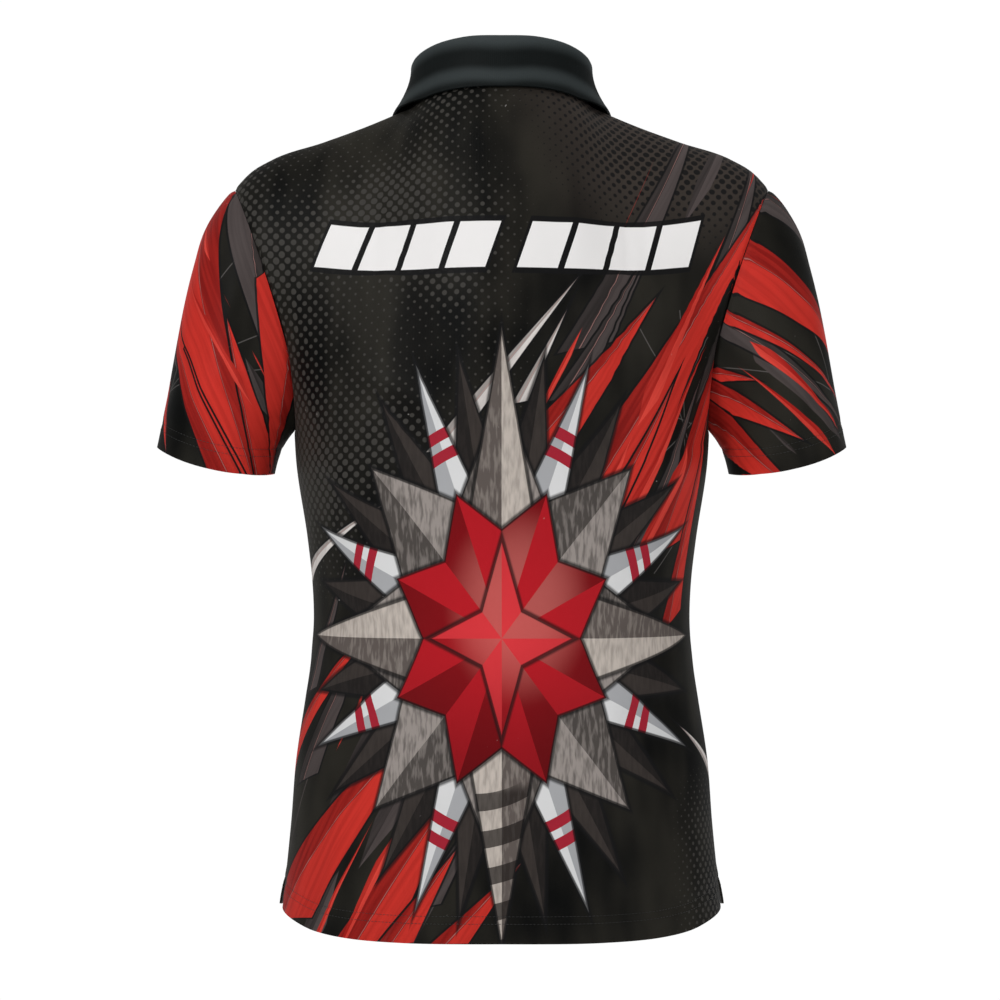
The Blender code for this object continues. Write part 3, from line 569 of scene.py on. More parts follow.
def set_slot_columns(grid, slot):
    """Moves the column nearest the placket slot to the slot's edge, and eases its neighbours."""
    centre = grid.shape[1] // 2
    near = slot + 5
    for row in grid:
        for sign in (1, -1):
            columns = centre + sign * np.arange(near)
            old = row[columns].copy()
            x = old[:, 0] * sign
            fade = np.clip((near - 1 - np.arange(near)) / (near - 1 - slot), 0, 1)
            wanted = x * (1 + (SLOT_HALF_WIDTH / x[slot] - 1) * fade)
            for axis in (1, 2):
                row[columns, axis] = np.interp(wanted, x, old[:, axis])
            row[columns, 0] = wanted * sign
    return grid


def cuff_points(around):
    """Points round the cuff, from 0 at the underarm, by the back, to 1."""
    turn = 2 * math.pi * around
    power = 2 / SECTION_ROUNDNESS
    across = -np.copysign(np.abs(np.cos(turn)) ** power, np.cos(turn)) * CUFF_HALF_WIDTH
    deep = np.copysign(np.abs(np.sin(turn)) ** power, np.sin(turn)) * CUFF_HALF_DEPTH
    return np.stack([
        CUFF_CENTRE[0] + across * math.cos(CUFF_SLOPE),
        CUFF_CENTRE[1] + deep,
        CUFF_CENTRE[2] + across * math.sin(CUFF_SLOPE) - CUFF_DIP * np.sin(turn) ** 2,
    ], -1)


def sleeve_grid():
    """The left sleeve's points before its folds, as rings from the armhole to the cuff, and how far round each
    column is. The last column lies on the first."""
    around = np.arange(SLEEVE_COLUMNS) / SLEEVE_COLUMNS
    back = around <= 0.5
    loop = np.where(
        back[:, None],
        panel_points(1.0, 1 + 2 * np.where(back, around, 0), BACK),
        panel_points(1.0, 1 + 2 * (1 - np.where(back, 0.5, around)), FRONT),
    )
    loop[0, 1] = 0.0
    handles = table_at(SLEEVE_HANDLES, around)
    start = loop + unit(handles[:, :3]) * SEAM_GAP
    end = cuff_points(around)
    hem = 1 - SLEEVE_HEM_DEPTH / SLEEVE_LENGTH
    shares = np.unique(np.concatenate([SLEEVE_ROWS, np.linspace(0.05, hem - 0.02, 34), np.linspace(hem, 1, 7)]))
    grid = curve(shares[:, None, None], start, loop + handles[:, :3], end + handles[:, 3:], end)
    return np.concatenate([grid, grid[:, :1]], axis=1), np.append(around, 1.0), loop.mean(axis=0)


def sleeve_sheet(sign, creases, seed):
    """The outer points of the wearer's left (1) or right (-1) sleeve, its outward directions and cloth places."""
    grid, around, armhole = sleeve_grid()
    middle = grid.mean(axis=1, keepdims=True)

    def outward(g):
        wrapped = np.concatenate([g[:, -2:-1], g, g[:, 1:2]], axis=1)
        n = surface_normals(wrapped, wrapped - middle)[:, 1:-1]
        n[:, [0, -1]] = unit(n[:, [0]] + n[:, [-1]])
        return n

    top = int(np.abs(around - 0.5).argmin())
    along, _ = row_places(grid, top)
    raised = (grid - np.array(CUFF_CENTRE)) @ unit(armhole - np.array(CUFF_CENTRE))
    down = lengths_along(grid, 0)
    full = down[-1]
    height = fold_heights(grid[..., 0], grid[..., 2], SLEEVE_FOLDS)
    ring = np.abs(along[:, [-1]] - along[:, [0]])
    for f in creases:
        crease = Fold(
            f.around0 * SLEEVE_GIRTH, f.along0 * SLEEVE_LENGTH, f.around1 * SLEEVE_GIRTH,
            f.along1 * SLEEVE_LENGTH, f.width, f.depth,
        )
        for shift in (-1, 0, 1):
            height += fold_heights((around[None, :] + shift) * ring, down / full * SLEEVE_LENGTH, [crease])
    turn = 2 * math.pi * around[None, :]
    height += SLEEVE_SWELL * wander(np.sin(turn) * 0.06 + 0 * down, down + np.cos(turn) * 0.03, seed)
    room = ease(down / 0.02) * (0.6 + 0.4 * ease((full - down) / 0.03))
    sink = seam_sink(down) + hem_groove(full - down, SLEEVE_HEM_DEPTH)
    grid = grid + outward(grid) * (height * room - sink)[..., None]
    u, v = flattened(grid, along, raised)
    mirror = np.array([sign, 1, 1])
    return {
        "points": grid * mirror, "out": outward(grid) * mirror, "hem": full - down, "area": flat_area(u, v),
        "u": sign * -u, "v": v - v[-1, top],
    }


def surface_tree(*grids):
    """The grids as one surface that can be asked for its nearest point."""
    points, faces = [], []
    for grid in grids:
        start, (rows, columns) = len(points), grid.shape[:2]
        points += [tuple(p) for p in grid.reshape(-1, 3)]
        for i in range(rows - 1):
            for j in range(columns - 1):
                a = start + i * columns + j
                faces.append((a, a + 1, a + columns + 1, a + columns))
    return BVHTree.FromPolygons(points, faces)


def cleared(point, tree, centre, margin):
    """The point, moved out where it is nearer to the surface than the margin."""
    near, normal, _, _ = tree.find_nearest(Vector(point))
    out = np.array(normal) * math.copysign(1, normal.dot(near - Vector(centre)))
    return point + out * max(0.0, margin - float((point - np.array(near)) @ out))


def over_placket(point):
    """How much higher the collar lies where it crosses the placket."""
    if point[1] >= 0:
        return 0.0
    return COLLAR_OVER_PLACKET * (1 - float(ease((abs(point[0]) - 0.018) / 0.008)))


def collar_column(angle, tree):
    """The collar's middle surface at one place: up the stand, over the fold, down the fall."""
    rise, edge_x, edge_y, edge_z, lies = table_at(COLLAR_STATIONS, angle)[0]
    ahead, behind = neck_points(np.array([angle + 1, angle - 1]))
    along = unit((ahead - behind) * [1, 1, 0])
    seam, out, up = neck_points(np.array([angle]))[0], np.array([-along[1], along[0], 0]), np.array([0, 0, 1.0])
    half = COLLAR_CLOTH / 2
    foot = seam - out * half + up * 0.0003
    head = seam - out * (half + COLLAR_LEAN) + up * (rise - half - COLLAR_ROLL)
    path = [foot + (head - foot) * k / STAND_ROWS for k in range(STAND_ROWS)]
    for k in range(ROLL_ROWS + 1):
        turn = math.pi * (1 - k / ROLL_ROWS)
        path.append(head + out * COLLAR_ROLL * (1 + math.cos(turn)) + up * COLLAR_ROLL * math.sin(turn))
    start, end = path[-1], np.array([edge_x, edge_y, edge_z])
    margin, centre = COLLAR_CLEARANCE + half, (0.0, 0.0, min(-0.06, edge_z - 0.03))
    lying = float(np.clip(lies, 0, 1))
    if lying > 0:
        hit = tree.ray_cast(Vector((edge_x, -0.3, edge_z)), Vector((0, 1, 0)))[0]
        if hit is not None:
            end[1] += lying * (hit.y - margin - end[1])
    end = cleared(end, tree, centre, margin + over_placket(end))
    length = float(np.linalg.norm(end - start))
    leave = start - up * 0.35 * length
    arrive = end - unit(end - start + out * 0.25 * length) * 0.35 * length
    for k in range(1, FALL_ROWS + 1):
        point = curve(k / FALL_ROWS, start, leave, arrive, end)
        path.append(cleared(point, tree, centre, margin + over_placket(point)))
    return path


def collar_sheet(tree):
    """The collar's outer and inner points, its outward directions and cloth places, thicker at its edge."""
    last = 180.0 - math.degrees(math.asin(COLLAR_END_X / NECK_HALF_WIDTH))
    angles = np.linspace(0, last, COLLAR_COLUMNS)
    half = np.array([collar_column(a, tree) for a in angles]).transpose(1, 0, 2)
    middle = np.concatenate([half[:, :0:-1] * [-1, 1, 1], half], axis=1)
    normals = unit(np.cross(np.gradient(middle, axis=1), np.gradient(middle, axis=0)))
    if normals[-1, len(angles) - 1] @ [0, 1, 0] < 0:
        normals = -normals
    u, v = row_places(middle, len(angles) - 1)
    edge = v[-1] - v
    swell = COLLAR_SWELL * wander(u, v * 2, 11) * ease(v / 0.04)
    half_cloth = COLLAR_CLOTH / 2 * (1 + 0.30 * swell_at(edge - 0.0025, 0.002))
    middle = middle + normals * swell[..., None]
    lip = normals * half_cloth[..., None]
    return {
        "points": middle + lip, "inner": middle - lip, "out": normals, "u": u, "v": v, "hem": edge,
        "area": flat_area(u, v),
    }


# ======================================================================================
# Meshes
# ======================================================================================
def shell(name, sheet, hem_depth, look, keep=None):
    """A closed thin wall under a sheet's outer points, thicker at its turned hem. Its UV map holds the
    places on the flat cloth. Its inner face has the look of the cloth's inside, except on the hem."""
    outer, hem = sheet["points"], sheet["hem"]
    thickness = CLOTH + (HEM_CLOTH - CLOTH) * ease((hem_depth + 0.0008 - hem) / 0.0012)
    inner = sheet.get("inner", outer - sheet["out"] * thickness[..., None])
    rows, columns = outer.shape[:2]
    count = rows * columns
    i, j = np.meshgrid(np.arange(rows - 1), np.arange(columns - 1), indexing="ij")
    kept = np.ones(i.shape, bool) if keep is None else keep(i, j)
    a = (i * columns + j)[kept]
    quads = np.stack([a, a + 1, a + columns + 1, a + columns], 1)
    points = np.concatenate([outer.reshape(-1, 3), inner.reshape(-1, 3)])
    p = points[quads]
    away = points[quads[:, 0]] - points[quads[:, 0] + count]
    if (np.cross(p[:, 1] - p[:, 0], p[:, 3] - p[:, 0]) * away).sum() < 0:
        quads = quads[:, ::-1]
    ring = np.allclose(outer[:, 0], outer[:, -1], atol=1e-9)
    sides = {(int(q[k]), int(q[(k + 1) % 4])) for q in quads for k in range(4)}
    rim = [(x, y) for x, y in sides if (y, x) not in sides]
    if ring:
        rim = [(x, y) for x, y in rim if x % columns != y % columns]
    faces = quads.tolist() + (quads[:, ::-1] + count).tolist() + [[y, x, x + count, y + count] for x, y in rim]
    used = np.unique(np.concatenate([np.ravel(f) for f in faces]))
    number = np.full(len(points), -1)
    number[used] = np.arange(len(used))
    mesh = bpy.data.meshes.new(name)
    mesh.from_pydata(points[used].tolist(), [], [[int(number[k]) for k in f] for f in faces])
    places = np.stack([sheet["u"].ravel(), sheet["v"].ravel()], 1)
    flat = np.array([k % count for f in faces for k in f])
    mesh.uv_layers.new(name="cloth").data.foreach_set("uv", places[flat].ravel())
    made = place(name, mesh, look)
    if hem_depth:
        mesh.materials.append(looks["inside"])
        inside = np.zeros(len(faces), np.int32)
        inside[len(quads) : 2 * len(quads)] = hem.ravel()[quads].mean(axis=1) > hem_depth
        mesh.polygons.foreach_set("material_index", inside)
    if ring:
        weld(made)
    return made


def weld(thing):
    """Joins the first and last columns of a tube."""
    mesh = bmesh.new()
    mesh.from_mesh(thing.data)
    bmesh.ops.remove_doubles(mesh, verts=mesh.verts, dist=1e-6)
    mesh.to_mesh(thing.data)
    mesh.free()


def place(name, mesh, look):
    """An object of the mesh in the scene, smooth but for its sharp edges."""
    mesh.materials.append(look)
    mesh.shade_smooth()
    mesh.set_sharp_from_angle(angle=math.radians(60))
    thing = bpy.data.objects.new(name, mesh)
    bpy.context.scene.collection.objects.link(thing)
    return thing


def add_piece(thing, slot=None, *nodes):
    """A piece of the part: its material slot, which is not used, and the solids that it stands for."""
    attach(thing, "root")
    if nodes:
        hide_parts(*nodes)
    return thing


# ======================================================================================
# Placket, buttons and stitches
# ======================================================================================
def strip_points(sheet, across, heights):
    """Points of a panel, and its outward directions, at given x and heights near its centre."""
    grid, out = sheet["points"], sheet["out"]
    middle = grid.shape[1] // 2
    near = slice(middle - 12, middle + 13)
    line = grid[:, middle, 2]
    points, normals = [], []
    for height in heights:
        i = int(np.clip(np.searchsorted(line, height) - 1, 0, len(line) - 2))
        share = (height - line[i]) / (line[i + 1] - line[i])
        row = (1 - share) * grid[i, near] + share * grid[i + 1, near]
        face = (1 - share) * out[i, near] + share * out[i + 1, near]
        points.append(line_at(across, row[:, 0], row))
        normals.append(line_at(across, row[:, 0], face))
    return np.array(points), unit(np.array(normals))


def strip_sheet(front, start, thickness):
    """A placket strip, from a distance off the front's outer face, with its long edges turned in."""
    top, edge = neck_points(np.array([180.0]))[0, 2], PLACKET_HALF_WIDTH
    foot = top - PLACKET_LENGTH
    rim = np.array([0, 0.0004, 0.0012])
    across = np.concatenate([rim - edge, np.linspace(-0.0142, 0.0142, 13), edge - rim[::-1]])
    heights = np.concatenate([foot + rim, np.linspace(foot + 0.003, top - PLACKET_HEAD_GAP - 0.0002, 54)])
    base, out = strip_points(front, across, heights)
    away = np.minimum(edge - np.abs(base[:, :, 0]), (heights - foot)[:, None])
    pressed = 0.0003 * swell_at(away - PLACKET_SEWN_IN, 0.0009) + 0.0004 * swell_at(away, 0.0005)
    u, v = row_places(base, len(across) // 2)
    return {
        "points": base + out * (thickness + start - pressed)[..., None], "inner": base + out * start,
        "out": out, "u": u, "v": v, "hem": v, "area": flat_area(u, v),
    }


def bridge(mesh, low, high):
    """Faces between two rings."""
    for k in range(len(low)):
        j = (k + 1) % len(low)
        mesh.faces.new((low[k], low[j], high[j], high[k]))


def finished(mesh, name, look):
    """The object of a mesh that is being edited."""
    bmesh.ops.recalc_face_normals(mesh, faces=mesh.faces)
    data = bpy.data.meshes.new(name)
    mesh.to_mesh(data)
    mesh.free()
    return place(name, data, look)


def disc(outline, holes, low, high):
    """A disc with holes through it, between two heights."""
    loops = [[Vector((x, y, 0)) for x, y in ring] for ring in [outline, *holes]]
    mesh = bmesh.new()
    under, over = ([[mesh.verts.new((v.x, v.y, z)) for v in ring] for ring in loops] for z in (low, high))
    below, above = sum(under, []), sum(over, [])
    for a, b, c in tessellate_polygon(loops):
        mesh.faces.new((below[a], below[b], below[c]))
        mesh.faces.new((above[c], above[b], above[a]))
    for rings in zip(under, over):
        bridge(mesh, *rings)
    return mesh


def circle(x, y, radius, sides):
    """Points round a circle."""
    turns = [2 * math.pi * (k + 0.5) / sides for k in range(sides)]
    return [(x + radius * math.cos(t), y + radius * math.sin(t)) for t in turns]


def button_seats(strip):
    """Where each button lies: a matrix from its own axes to its place on the strip."""
    line = strip["points"][:, strip["points"].shape[1] // 2]
    top = neck_points(np.array([180.0]))[0, 2]
    for drop in BUTTON_DROPS:
        low, high = (line_at(top - drop + way * BUTTON_RADIUS, line[:, 2], line) for way in (-1, 1))
        along = unit(high - low)
        normal = unit(np.cross([1.0, 0, 0], along))
        seat = (low + high) / 2 + normal * (BUTTON_THICKNESS / 2 + BUTTON_LIFT)
        turn = Matrix([[1, along[0], normal[0]], [0, along[1], normal[1]], [0, along[2], normal[2]]])
        yield Matrix.Translation(Vector(seat)) @ turn.to_4x4()


# radius share, height share: the section of a button's rim, a ring round its body
BUTTON_RIM = [
    (0.70, -0.90), (0.90, -0.90), (0.97, -0.62), (1.00, -0.20), (1.00, 0.30), (0.97, 0.72), (0.91, 0.95),
    (0.84, 1.00), (0.78, 0.88), (0.73, 0.50), (0.70, 0.35),
]
BUTTON_SIDES = 48
# How the thread of a button lies: strands of a bar, their radius, the bow over the dish and the drop at its ends.
STRANDS = (-1, 0, 1)
STRAND_GAP, STRAND_RADIUS, STRAND_SIDES = 0.00030, 0.00021, 6
STRAND_BOW, STRAND_DROP = 0.0007, 0.0005


def button(name, seat):
    """A four-hole button with a raised rim round a shallow dish."""
    half, spread = BUTTON_THICKNESS / 2, BUTTON_HOLE_SPREAD
    holes = [circle(x, y, BUTTON_HOLE_RADIUS, 14) for x in (spread, -spread) for y in (spread, -spread)]
    body = disc(circle(0, 0, BUTTON_RADIUS * 0.72, BUTTON_SIDES), holes, -half * 0.9, half * 0.35)
    rings = [
        [body.verts.new((x, y, half * level)) for x, y in circle(0, 0, BUTTON_RADIUS * share, BUTTON_SIDES)]
        for share, level in BUTTON_RIM
    ]
    for low, high in zip(rings, rings[1:] + rings[:1]):
        bridge(body, low, high)
    body.transform(seat)
    return finished(body, name, looks["button"])


def thread_bars(name, seats):
    """Thread through each button's holes, two bars a button, as strands that bow over the dish."""
    mesh = bmesh.new()
    spread, level = BUTTON_HOLE_SPREAD, BUTTON_THICKNESS * 0.20
    turns = [2 * math.pi * k / STRAND_SIDES for k in range(STRAND_SIDES)]
    around = [Vector((math.cos(a), 0, math.sin(a))) * STRAND_RADIUS for a in turns]
    for seat in seats:
        for x, strand in ((x, strand) for x in (spread, -spread) for strand in STRANDS):
            rings = []
            for t in np.linspace(-1, 1, 9):
                lift = level + STRAND_BOW * (1 - t**4) - STRAND_DROP * abs(t) ** 6 + 0.00008 * abs(strand)
                centre = Vector((x + strand * STRAND_GAP, t * (spread + 0.0002), lift))
                rings.append([mesh.verts.new(seat @ (centre + p)) for p in around])
            for low, high in zip(rings, rings[1:]):
                bridge(mesh, low, high)
            mesh.faces.new(rings[0])
            mesh.faces.new(rings[-1])
    return finished(mesh, name, looks["thread"])


def hem_line(sheet, distance, lift):
    """A line on a sheet at one distance from its hem."""
    hem, points = sheet["hem"], sheet["points"] + sheet["out"] * lift
    orders = np.argsort(hem, axis=0).T
    return np.array([line_at(distance, hem[order, j], points[order, j]) for j, order in enumerate(orders)])


def resampled(line, step):
    """A line cut to even steps."""
    lengths = np.concatenate([[0], np.linalg.norm(np.diff(line, axis=0), axis=1).cumsum()])
    return line_at(np.linspace(0, lengths[-1], max(2, int(lengths[-1] / step))), lengths, line)


def stitch_nodes():
    """Geometry Nodes: a thread stitch at even steps along every line of the mesh."""
    tree = bpy.data.node_groups.new("stitches", "GeometryNodeTree")
    tree.interface.new_socket("Geometry", in_out="INPUT", socket_type="NodeSocketGeometry")
    for label, value in (("Step", STITCH_STEP), ("Length", STITCH_LENGTH), ("Radius", THREAD_RADIUS)):
        tree.interface.new_socket(label, in_out="INPUT", socket_type="NodeSocketFloat").default_value = value
    tree.interface.new_socket("Material", in_out="INPUT", socket_type="NodeSocketMaterial")
    tree.interface.new_socket("Geometry", in_out="OUTPUT", socket_type="NodeSocketGeometry")

    def add(kind, x, y=0, **settings):
        made = tree.nodes.new(kind)
        made.location = (x, y)
        for key, value in settings.items():
            setattr(made, key, value)
        return made

    start, end = add("NodeGroupInput", -800), add("NodeGroupOutput", 1100)
    lines = add("GeometryNodeMeshToCurve", -600)
    even = add("GeometryNodeResampleCurve", -400, mode="LENGTH")
    points = add("GeometryNodeCurveToPoints", -200, mode="EVALUATED")
    ball = add("GeometryNodeMeshUVSphere", -400, -300)
    ball.inputs["Segments"].default_value, ball.inputs["Rings"].default_value = 6, 5
    ball.inputs["Radius"].default_value = 1.0
    size = add("ShaderNodeCombineXYZ", -400, -500)
    halved = add("ShaderNodeMath", -600, -500, operation="MULTIPLY")
    halved.inputs[1].default_value = 0.5
    shaped = add("GeometryNodeTransform", -100, -300)
    turn = add("FunctionNodeAlignRotationToVector", 0, -100, axis="Z")
    instances = add("GeometryNodeInstanceOnPoints", 250)
    real = add("GeometryNodeRealizeInstances", 450)
    smooth = add("GeometryNodeSetShadeSmooth", 650)
    dressed = add("GeometryNodeSetMaterial", 850)
    for source, output, target, socket in (
        (start, "Geometry", lines, 0), (lines, 0, even, "Curve"), (start, "Step", even, "Length"),
        (even, 0, points, 0), (start, "Length", halved, 0), (start, "Radius", size, 0),
        (start, "Radius", size, 1), (halved, 0, size, 2), (ball, 0, shaped, 0), (size, 0, shaped, "Scale"),
        (points, "Tangent", turn, "Vector"), (points, "Points", instances, "Points"),
        (shaped, 0, instances, "Instance"), (turn, 0, instances, "Rotation"), (instances, 0, real, 0),
        (real, 0, smooth, 0), (smooth, 0, dressed, 0), (start, "Material", dressed, "Material"),
        (dressed, 0, end, 0),
    ):
        tree.links.new(source.outputs[output], target.inputs[socket])
    return tree


def stitched(name, lines, nodes, step=STITCH_STEP, length=STITCH_LENGTH, radius=THREAD_RADIUS):
    """Rows of stitches along lines, as one mesh."""
    points, edges = [], []
    for line in lines:
        start = len(points)
        points += line.tolist()
        edges += [(start + k, start + k + 1) for k in range(len(line) - 1)]
    mesh = bpy.data.meshes.new(f"{name}_lines")
    mesh.from_pydata(points, edges, [])
    carrier = bpy.data.objects.new(f"{name}_lines", mesh)
    bpy.context.scene.collection.objects.link(carrier)
    modifier = carrier.modifiers.new("stitches", "NODES")
    modifier.node_group = nodes
    values = {"Step": step, "Length": length, "Radius": radius, "Material": looks["thread"]}
    for item in nodes.interface.items_tree:
        if item.in_out == "INPUT" and item.name in values:
            modifier[item.identifier] = values[item.name]
    bpy.context.view_layer.update()
    ready = carrier.evaluated_get(bpy.context.evaluated_depsgraph_get())
    made = bpy.data.meshes.new_from_object(ready)
    made.name = name
    bpy.data.objects.remove(carrier)
    thing = bpy.data.objects.new(name, made)
    bpy.context.scene.collection.objects.link(thing)
    return thing


# ======================================================================================
# Shader arithmetic
# ======================================================================================
class Signal:
    """A node's output that takes part in arithmetic."""

    def __init__(self, net, socket):
        self.net, self.socket = net, socket

    def __add__(self, other):
        return self.net.math("ADD", self, other)

    def __radd__(self, other):
        return self.net.math("ADD", other, self)

    def __sub__(self, other):
        return self.net.math("SUBTRACT", self, other)

    def __rsub__(self, other):
        return self.net.math("SUBTRACT", other, self)

    def __mul__(self, other):
        return self.net.math("MULTIPLY", self, other)

    def __truediv__(self, other):
        return self.net.math("DIVIDE", self, other)

    def __rtruediv__(self, other):
        return self.net.math("DIVIDE", other, self)


class Net:
    """Adds nodes to one tree. Inputs are numbers, tuples or Signals."""

    def __init__(self, tree):
        self.tree = tree
        self.count = 0

    def put(self, socket, value):
        if isinstance(value, Signal):
            self.tree.links.new(value.socket, socket)
        elif value is not None:
            socket.default_value = value

    def node(self, kind, values=(), **settings):
        made = self.tree.nodes.new(kind)
        made.location = (190 * (self.count % 14), -170 * (self.count // 14))
        self.count += 1
        for key, value in settings.items():
            setattr(made, key, value)
        for key, value in (values.items() if isinstance(values, dict) else enumerate(values)):
            self.put(made.inputs[key], value)
        return made

    def math(self, operation, *values):
        return Signal(self, self.node("ShaderNodeMath", values, operation=operation).outputs[0])

    def call(self, tree, **values):
        """A group's results: one Signal, or a list of them."""
        made = self.node("ShaderNodeGroup", (), node_tree=tree)
        for key, value in values.items():
            self.put(made.inputs[key], value)
        results = [Signal(self, s) for s in made.outputs]
        return results[0] if len(results) == 1 else results

    def clamp(self, value):
        return Signal(self, self.node("ShaderNodeClamp", (value, 0.0, 1.0)).outputs[0])

    def between(self, value, low, high, start=0.0, end=1.0):
        """From start to end with soft ends, while the value goes from low to high."""
        made = self.node("ShaderNodeMapRange", (value, low, high, start, end), interpolation_type="SMOOTHSTEP")
        return Signal(self, made.outputs[0])

    def mix(self, share, low, high):
        """A colour between two, each a Signal or an sRGB hex number."""
        made = self.node("ShaderNodeMix", (), data_type="RGBA")
        self.put(made.inputs[0], share)
        self.put(made.inputs[6], colour(low))
        self.put(made.inputs[7], colour(high))
        return Signal(self, made.outputs[2])

    def random(self, a, b):
        """Four even random values for a pair of whole numbers."""
        spot = Signal(self, self.node("ShaderNodeCombineXYZ", (a, b)).outputs[0])
        made = self.node("ShaderNodeTexWhiteNoise", {"Vector": spot}, noise_dimensions="2D")
        parts = self.node("ShaderNodeSeparateColor", (Signal(self, made.outputs["Color"]),))
        return [Signal(self, made.outputs["Value"])] + [Signal(self, s) for s in parts.outputs]

    def noise(self, spot, scale, detail=2.0, roughness=0.5):
        made = self.node(
            "ShaderNodeTexNoise", {"Vector": spot, "Scale": scale, "Detail": detail, "Roughness": roughness}
        )
        return Signal(self, made.outputs[0])

    def parts(self, vector):
        return [Signal(self, s) for s in self.node("ShaderNodeSeparateXYZ", (vector,)).outputs]

    def join(self, x, y, z=0.0):
        return Signal(self, self.node("ShaderNodeCombineXYZ", (x, y, z)).outputs[0])


def colour(value):
    """A colour given as an sRGB hex number, in linear light."""
    if not isinstance(value, int):
        return value
    parts = [(value >> shift & 255) / 255 for shift in (16, 8, 0)]
    return (*(p / 12.92 if p <= 0.04045 else ((p + 0.055) / 1.055) ** 2.4 for p in parts), 1.0)


def group(name, inputs, outputs, build):
    """A node group of plain values. build gets the net and a Signal for each input, and returns the outputs."""
    tree = bpy.data.node_groups.new(name, "ShaderNodeTree")
    for way, labels in (("INPUT", inputs), ("OUTPUT", outputs)):
        for label in labels.split():
            tree.interface.new_socket(label, in_out=way, socket_type="NodeSocketFloat")
    net = Net(tree)
    start = net.node("NodeGroupInput")
    results = build(net, *(Signal(net, start.outputs[label]) for label in inputs.split()))
    end = net.node("NodeGroupOutput")
    for label, value in zip(outputs.split(), results if isinstance(results, tuple) else [results]):
        net.put(end.inputs[label], value)
    return tree


# ---- the groups of the print, in metres on the flat cloth ----
PRINT_EDGE = 0.0005  # over which the edge of a shape fades
FULL_TURN = 2 * math.pi


def build_halftone(net, x, y, pitch, level):
    """Round dots on a slanted grid. Level is their radius as a share of the pitch."""
    side = pitch * math.sqrt(2)
    a = net.math("FRACT", (x + y) / side) - 0.5
    b = net.math("FRACT", (x - y) / side) - 0.5
    away = net.math("SQRT", a * a + b * b)
    return net.clamp((level - away) * 12.0 + 0.5)


def build_slashes(net, x, y, turn, length, width, seed, density, room):
    """Straight tapered bars in lanes at one angle, each of its own length, place and tone."""
    cos, sin = net.math("COSINE", turn), net.math("SINE", turn)
    along, across = x * cos + y * sin, y * cos - x * sin
    lane = net.math("FLOOR", across / width)
    spot = net.math("FRACT", across / width) - 0.5
    shift = net.random(lane, seed)[0]
    run = along / length + shift * 9.0
    cell, t = net.math("FLOOR", run), net.math("FRACT", run)
    value, r, g, b = net.random(lane * 3.7 + seed, cell * 1.9 + 4.0)
    flipped = net.math("GREATER_THAN", g, 0.5)
    t = t + (1.0 - t - t) * flipped
    taper = net.math("MINIMUM", net.math("MINIMUM", t * 6.0, (1.0 - t) * 1.3), 1.0)
    bulk = 0.14 + r * 0.34
    off = spot - (b - 0.5) * (0.9 - bulk * 1.8) - (t - 0.5) * (value - 0.5) * 0.25
    inside = bulk * taper * room - 0.03 - net.math("ABSOLUTE", off)
    mask = net.clamp(inside * width / PRINT_EDGE + 0.5) * net.math("LESS_THAN", value, density)
    return mask, net.math("GREATER_THAN", off, 0.0), t


def build_blade(net, x, y, x0, y0, turn, length, width, lean):
    """One shard from a slanted base to a tip: its cover with the dark edge, its fill, and its tone."""
    cos, sin = net.math("COSINE", turn), net.math("SINE", turn)
    dx, dy = x - x0, y - y0
    along, across = dx * cos + dy * sin, dy * cos - dx * sin
    rest = 1.0 - along / length
    body = rest * width
    off = across - body * lean
    edge = net.math("MINIMUM", body * 0.5 - net.math("ABSOLUTE", off), along + across * 0.9)
    cover, fill = net.clamp(edge / PRINT_EDGE + 4.0), net.clamp(edge / PRINT_EDGE + 0.5)
    ridge = off - body * 0.14
    shine = net.clamp(1.0 - net.math("ABSOLUTE", ridge) / 0.0009)
    return cover, fill, net.math("GREATER_THAN", ridge, 0.0) * 0.6 + rest * 0.25 + shine


def build_scratch(net, x, y, x0, y0, turn, length):
    """One thin straight line."""
    cos, sin = net.math("COSINE", turn), net.math("SINE", turn)
    dx, dy = x - x0, y - y0
    share = (dx * cos + dy * sin) / length
    inside = net.math("LESS_THAN", net.math("ABSOLUTE", share - 0.5), 0.5)
    return net.clamp(1.5 - net.math("ABSOLUTE", dy * cos - dx * sin) / 0.0004) * inside


def build_star(net, x, y, points, outer, inner, turn):
    """A star of straight facets: its mask, which side of a point's ridge, and the share of its radius."""
    radius = net.math("SQRT", x * x + y * y)
    sector = FULL_TURN / points
    angle = net.math("ARCTAN2", y, x) + turn
    folded = angle - net.math("ROUND", angle / sector) * sector
    side = net.math("GREATER_THAN", folded, 0.0)
    folded = net.math("ABSOLUTE", folded)
    px, py = radius * net.math("COSINE", folded), radius * net.math("SINE", folded)
    bx, by = inner * net.math("COSINE", sector * 0.5), inner * net.math("SINE", sector * 0.5)
    size = net.math("SQRT", by * by + (outer - bx) * (outer - bx))
    edge = (by * (px - outer) + (outer - bx) * py) / size
    return net.clamp(0.5 - edge / PRINT_EDGE), side, radius / outer, edge


def build_knit(net, x, y):
    """The height of fine knit: slanted loops in columns, 1.1 mm wide and 0.9 mm high."""
    column = x / 0.0011
    lean = net.math("PINGPONG", column, 1.0)
    course = net.math("SINE", (y / 0.0009 + lean * 0.8) * FULL_TURN)
    wale = net.math("COSINE", column * FULL_TURN)
    return course * 0.5 + wale * 0.35


def shared_groups():
    """All node groups by name. Each takes a place x, y and what its row names, and gives what its row names."""
    return {
        name: group(name, f"x y {inputs}", outputs, build)
        for name, inputs, outputs, build in (
            ("halftone", "pitch level", "mask", build_halftone),
            ("slashes", "turn length width seed density room", "mask facet along", build_slashes),
            ("blade", "x0 y0 turn length width lean", "cover fill tone", build_blade),
            ("scratch", "x0 y0 turn length", "mask", build_scratch),
            ("star", "points outer inner turn", "mask side share edge", build_star),
            ("knit", "", "height", build_knit),
        )
    }


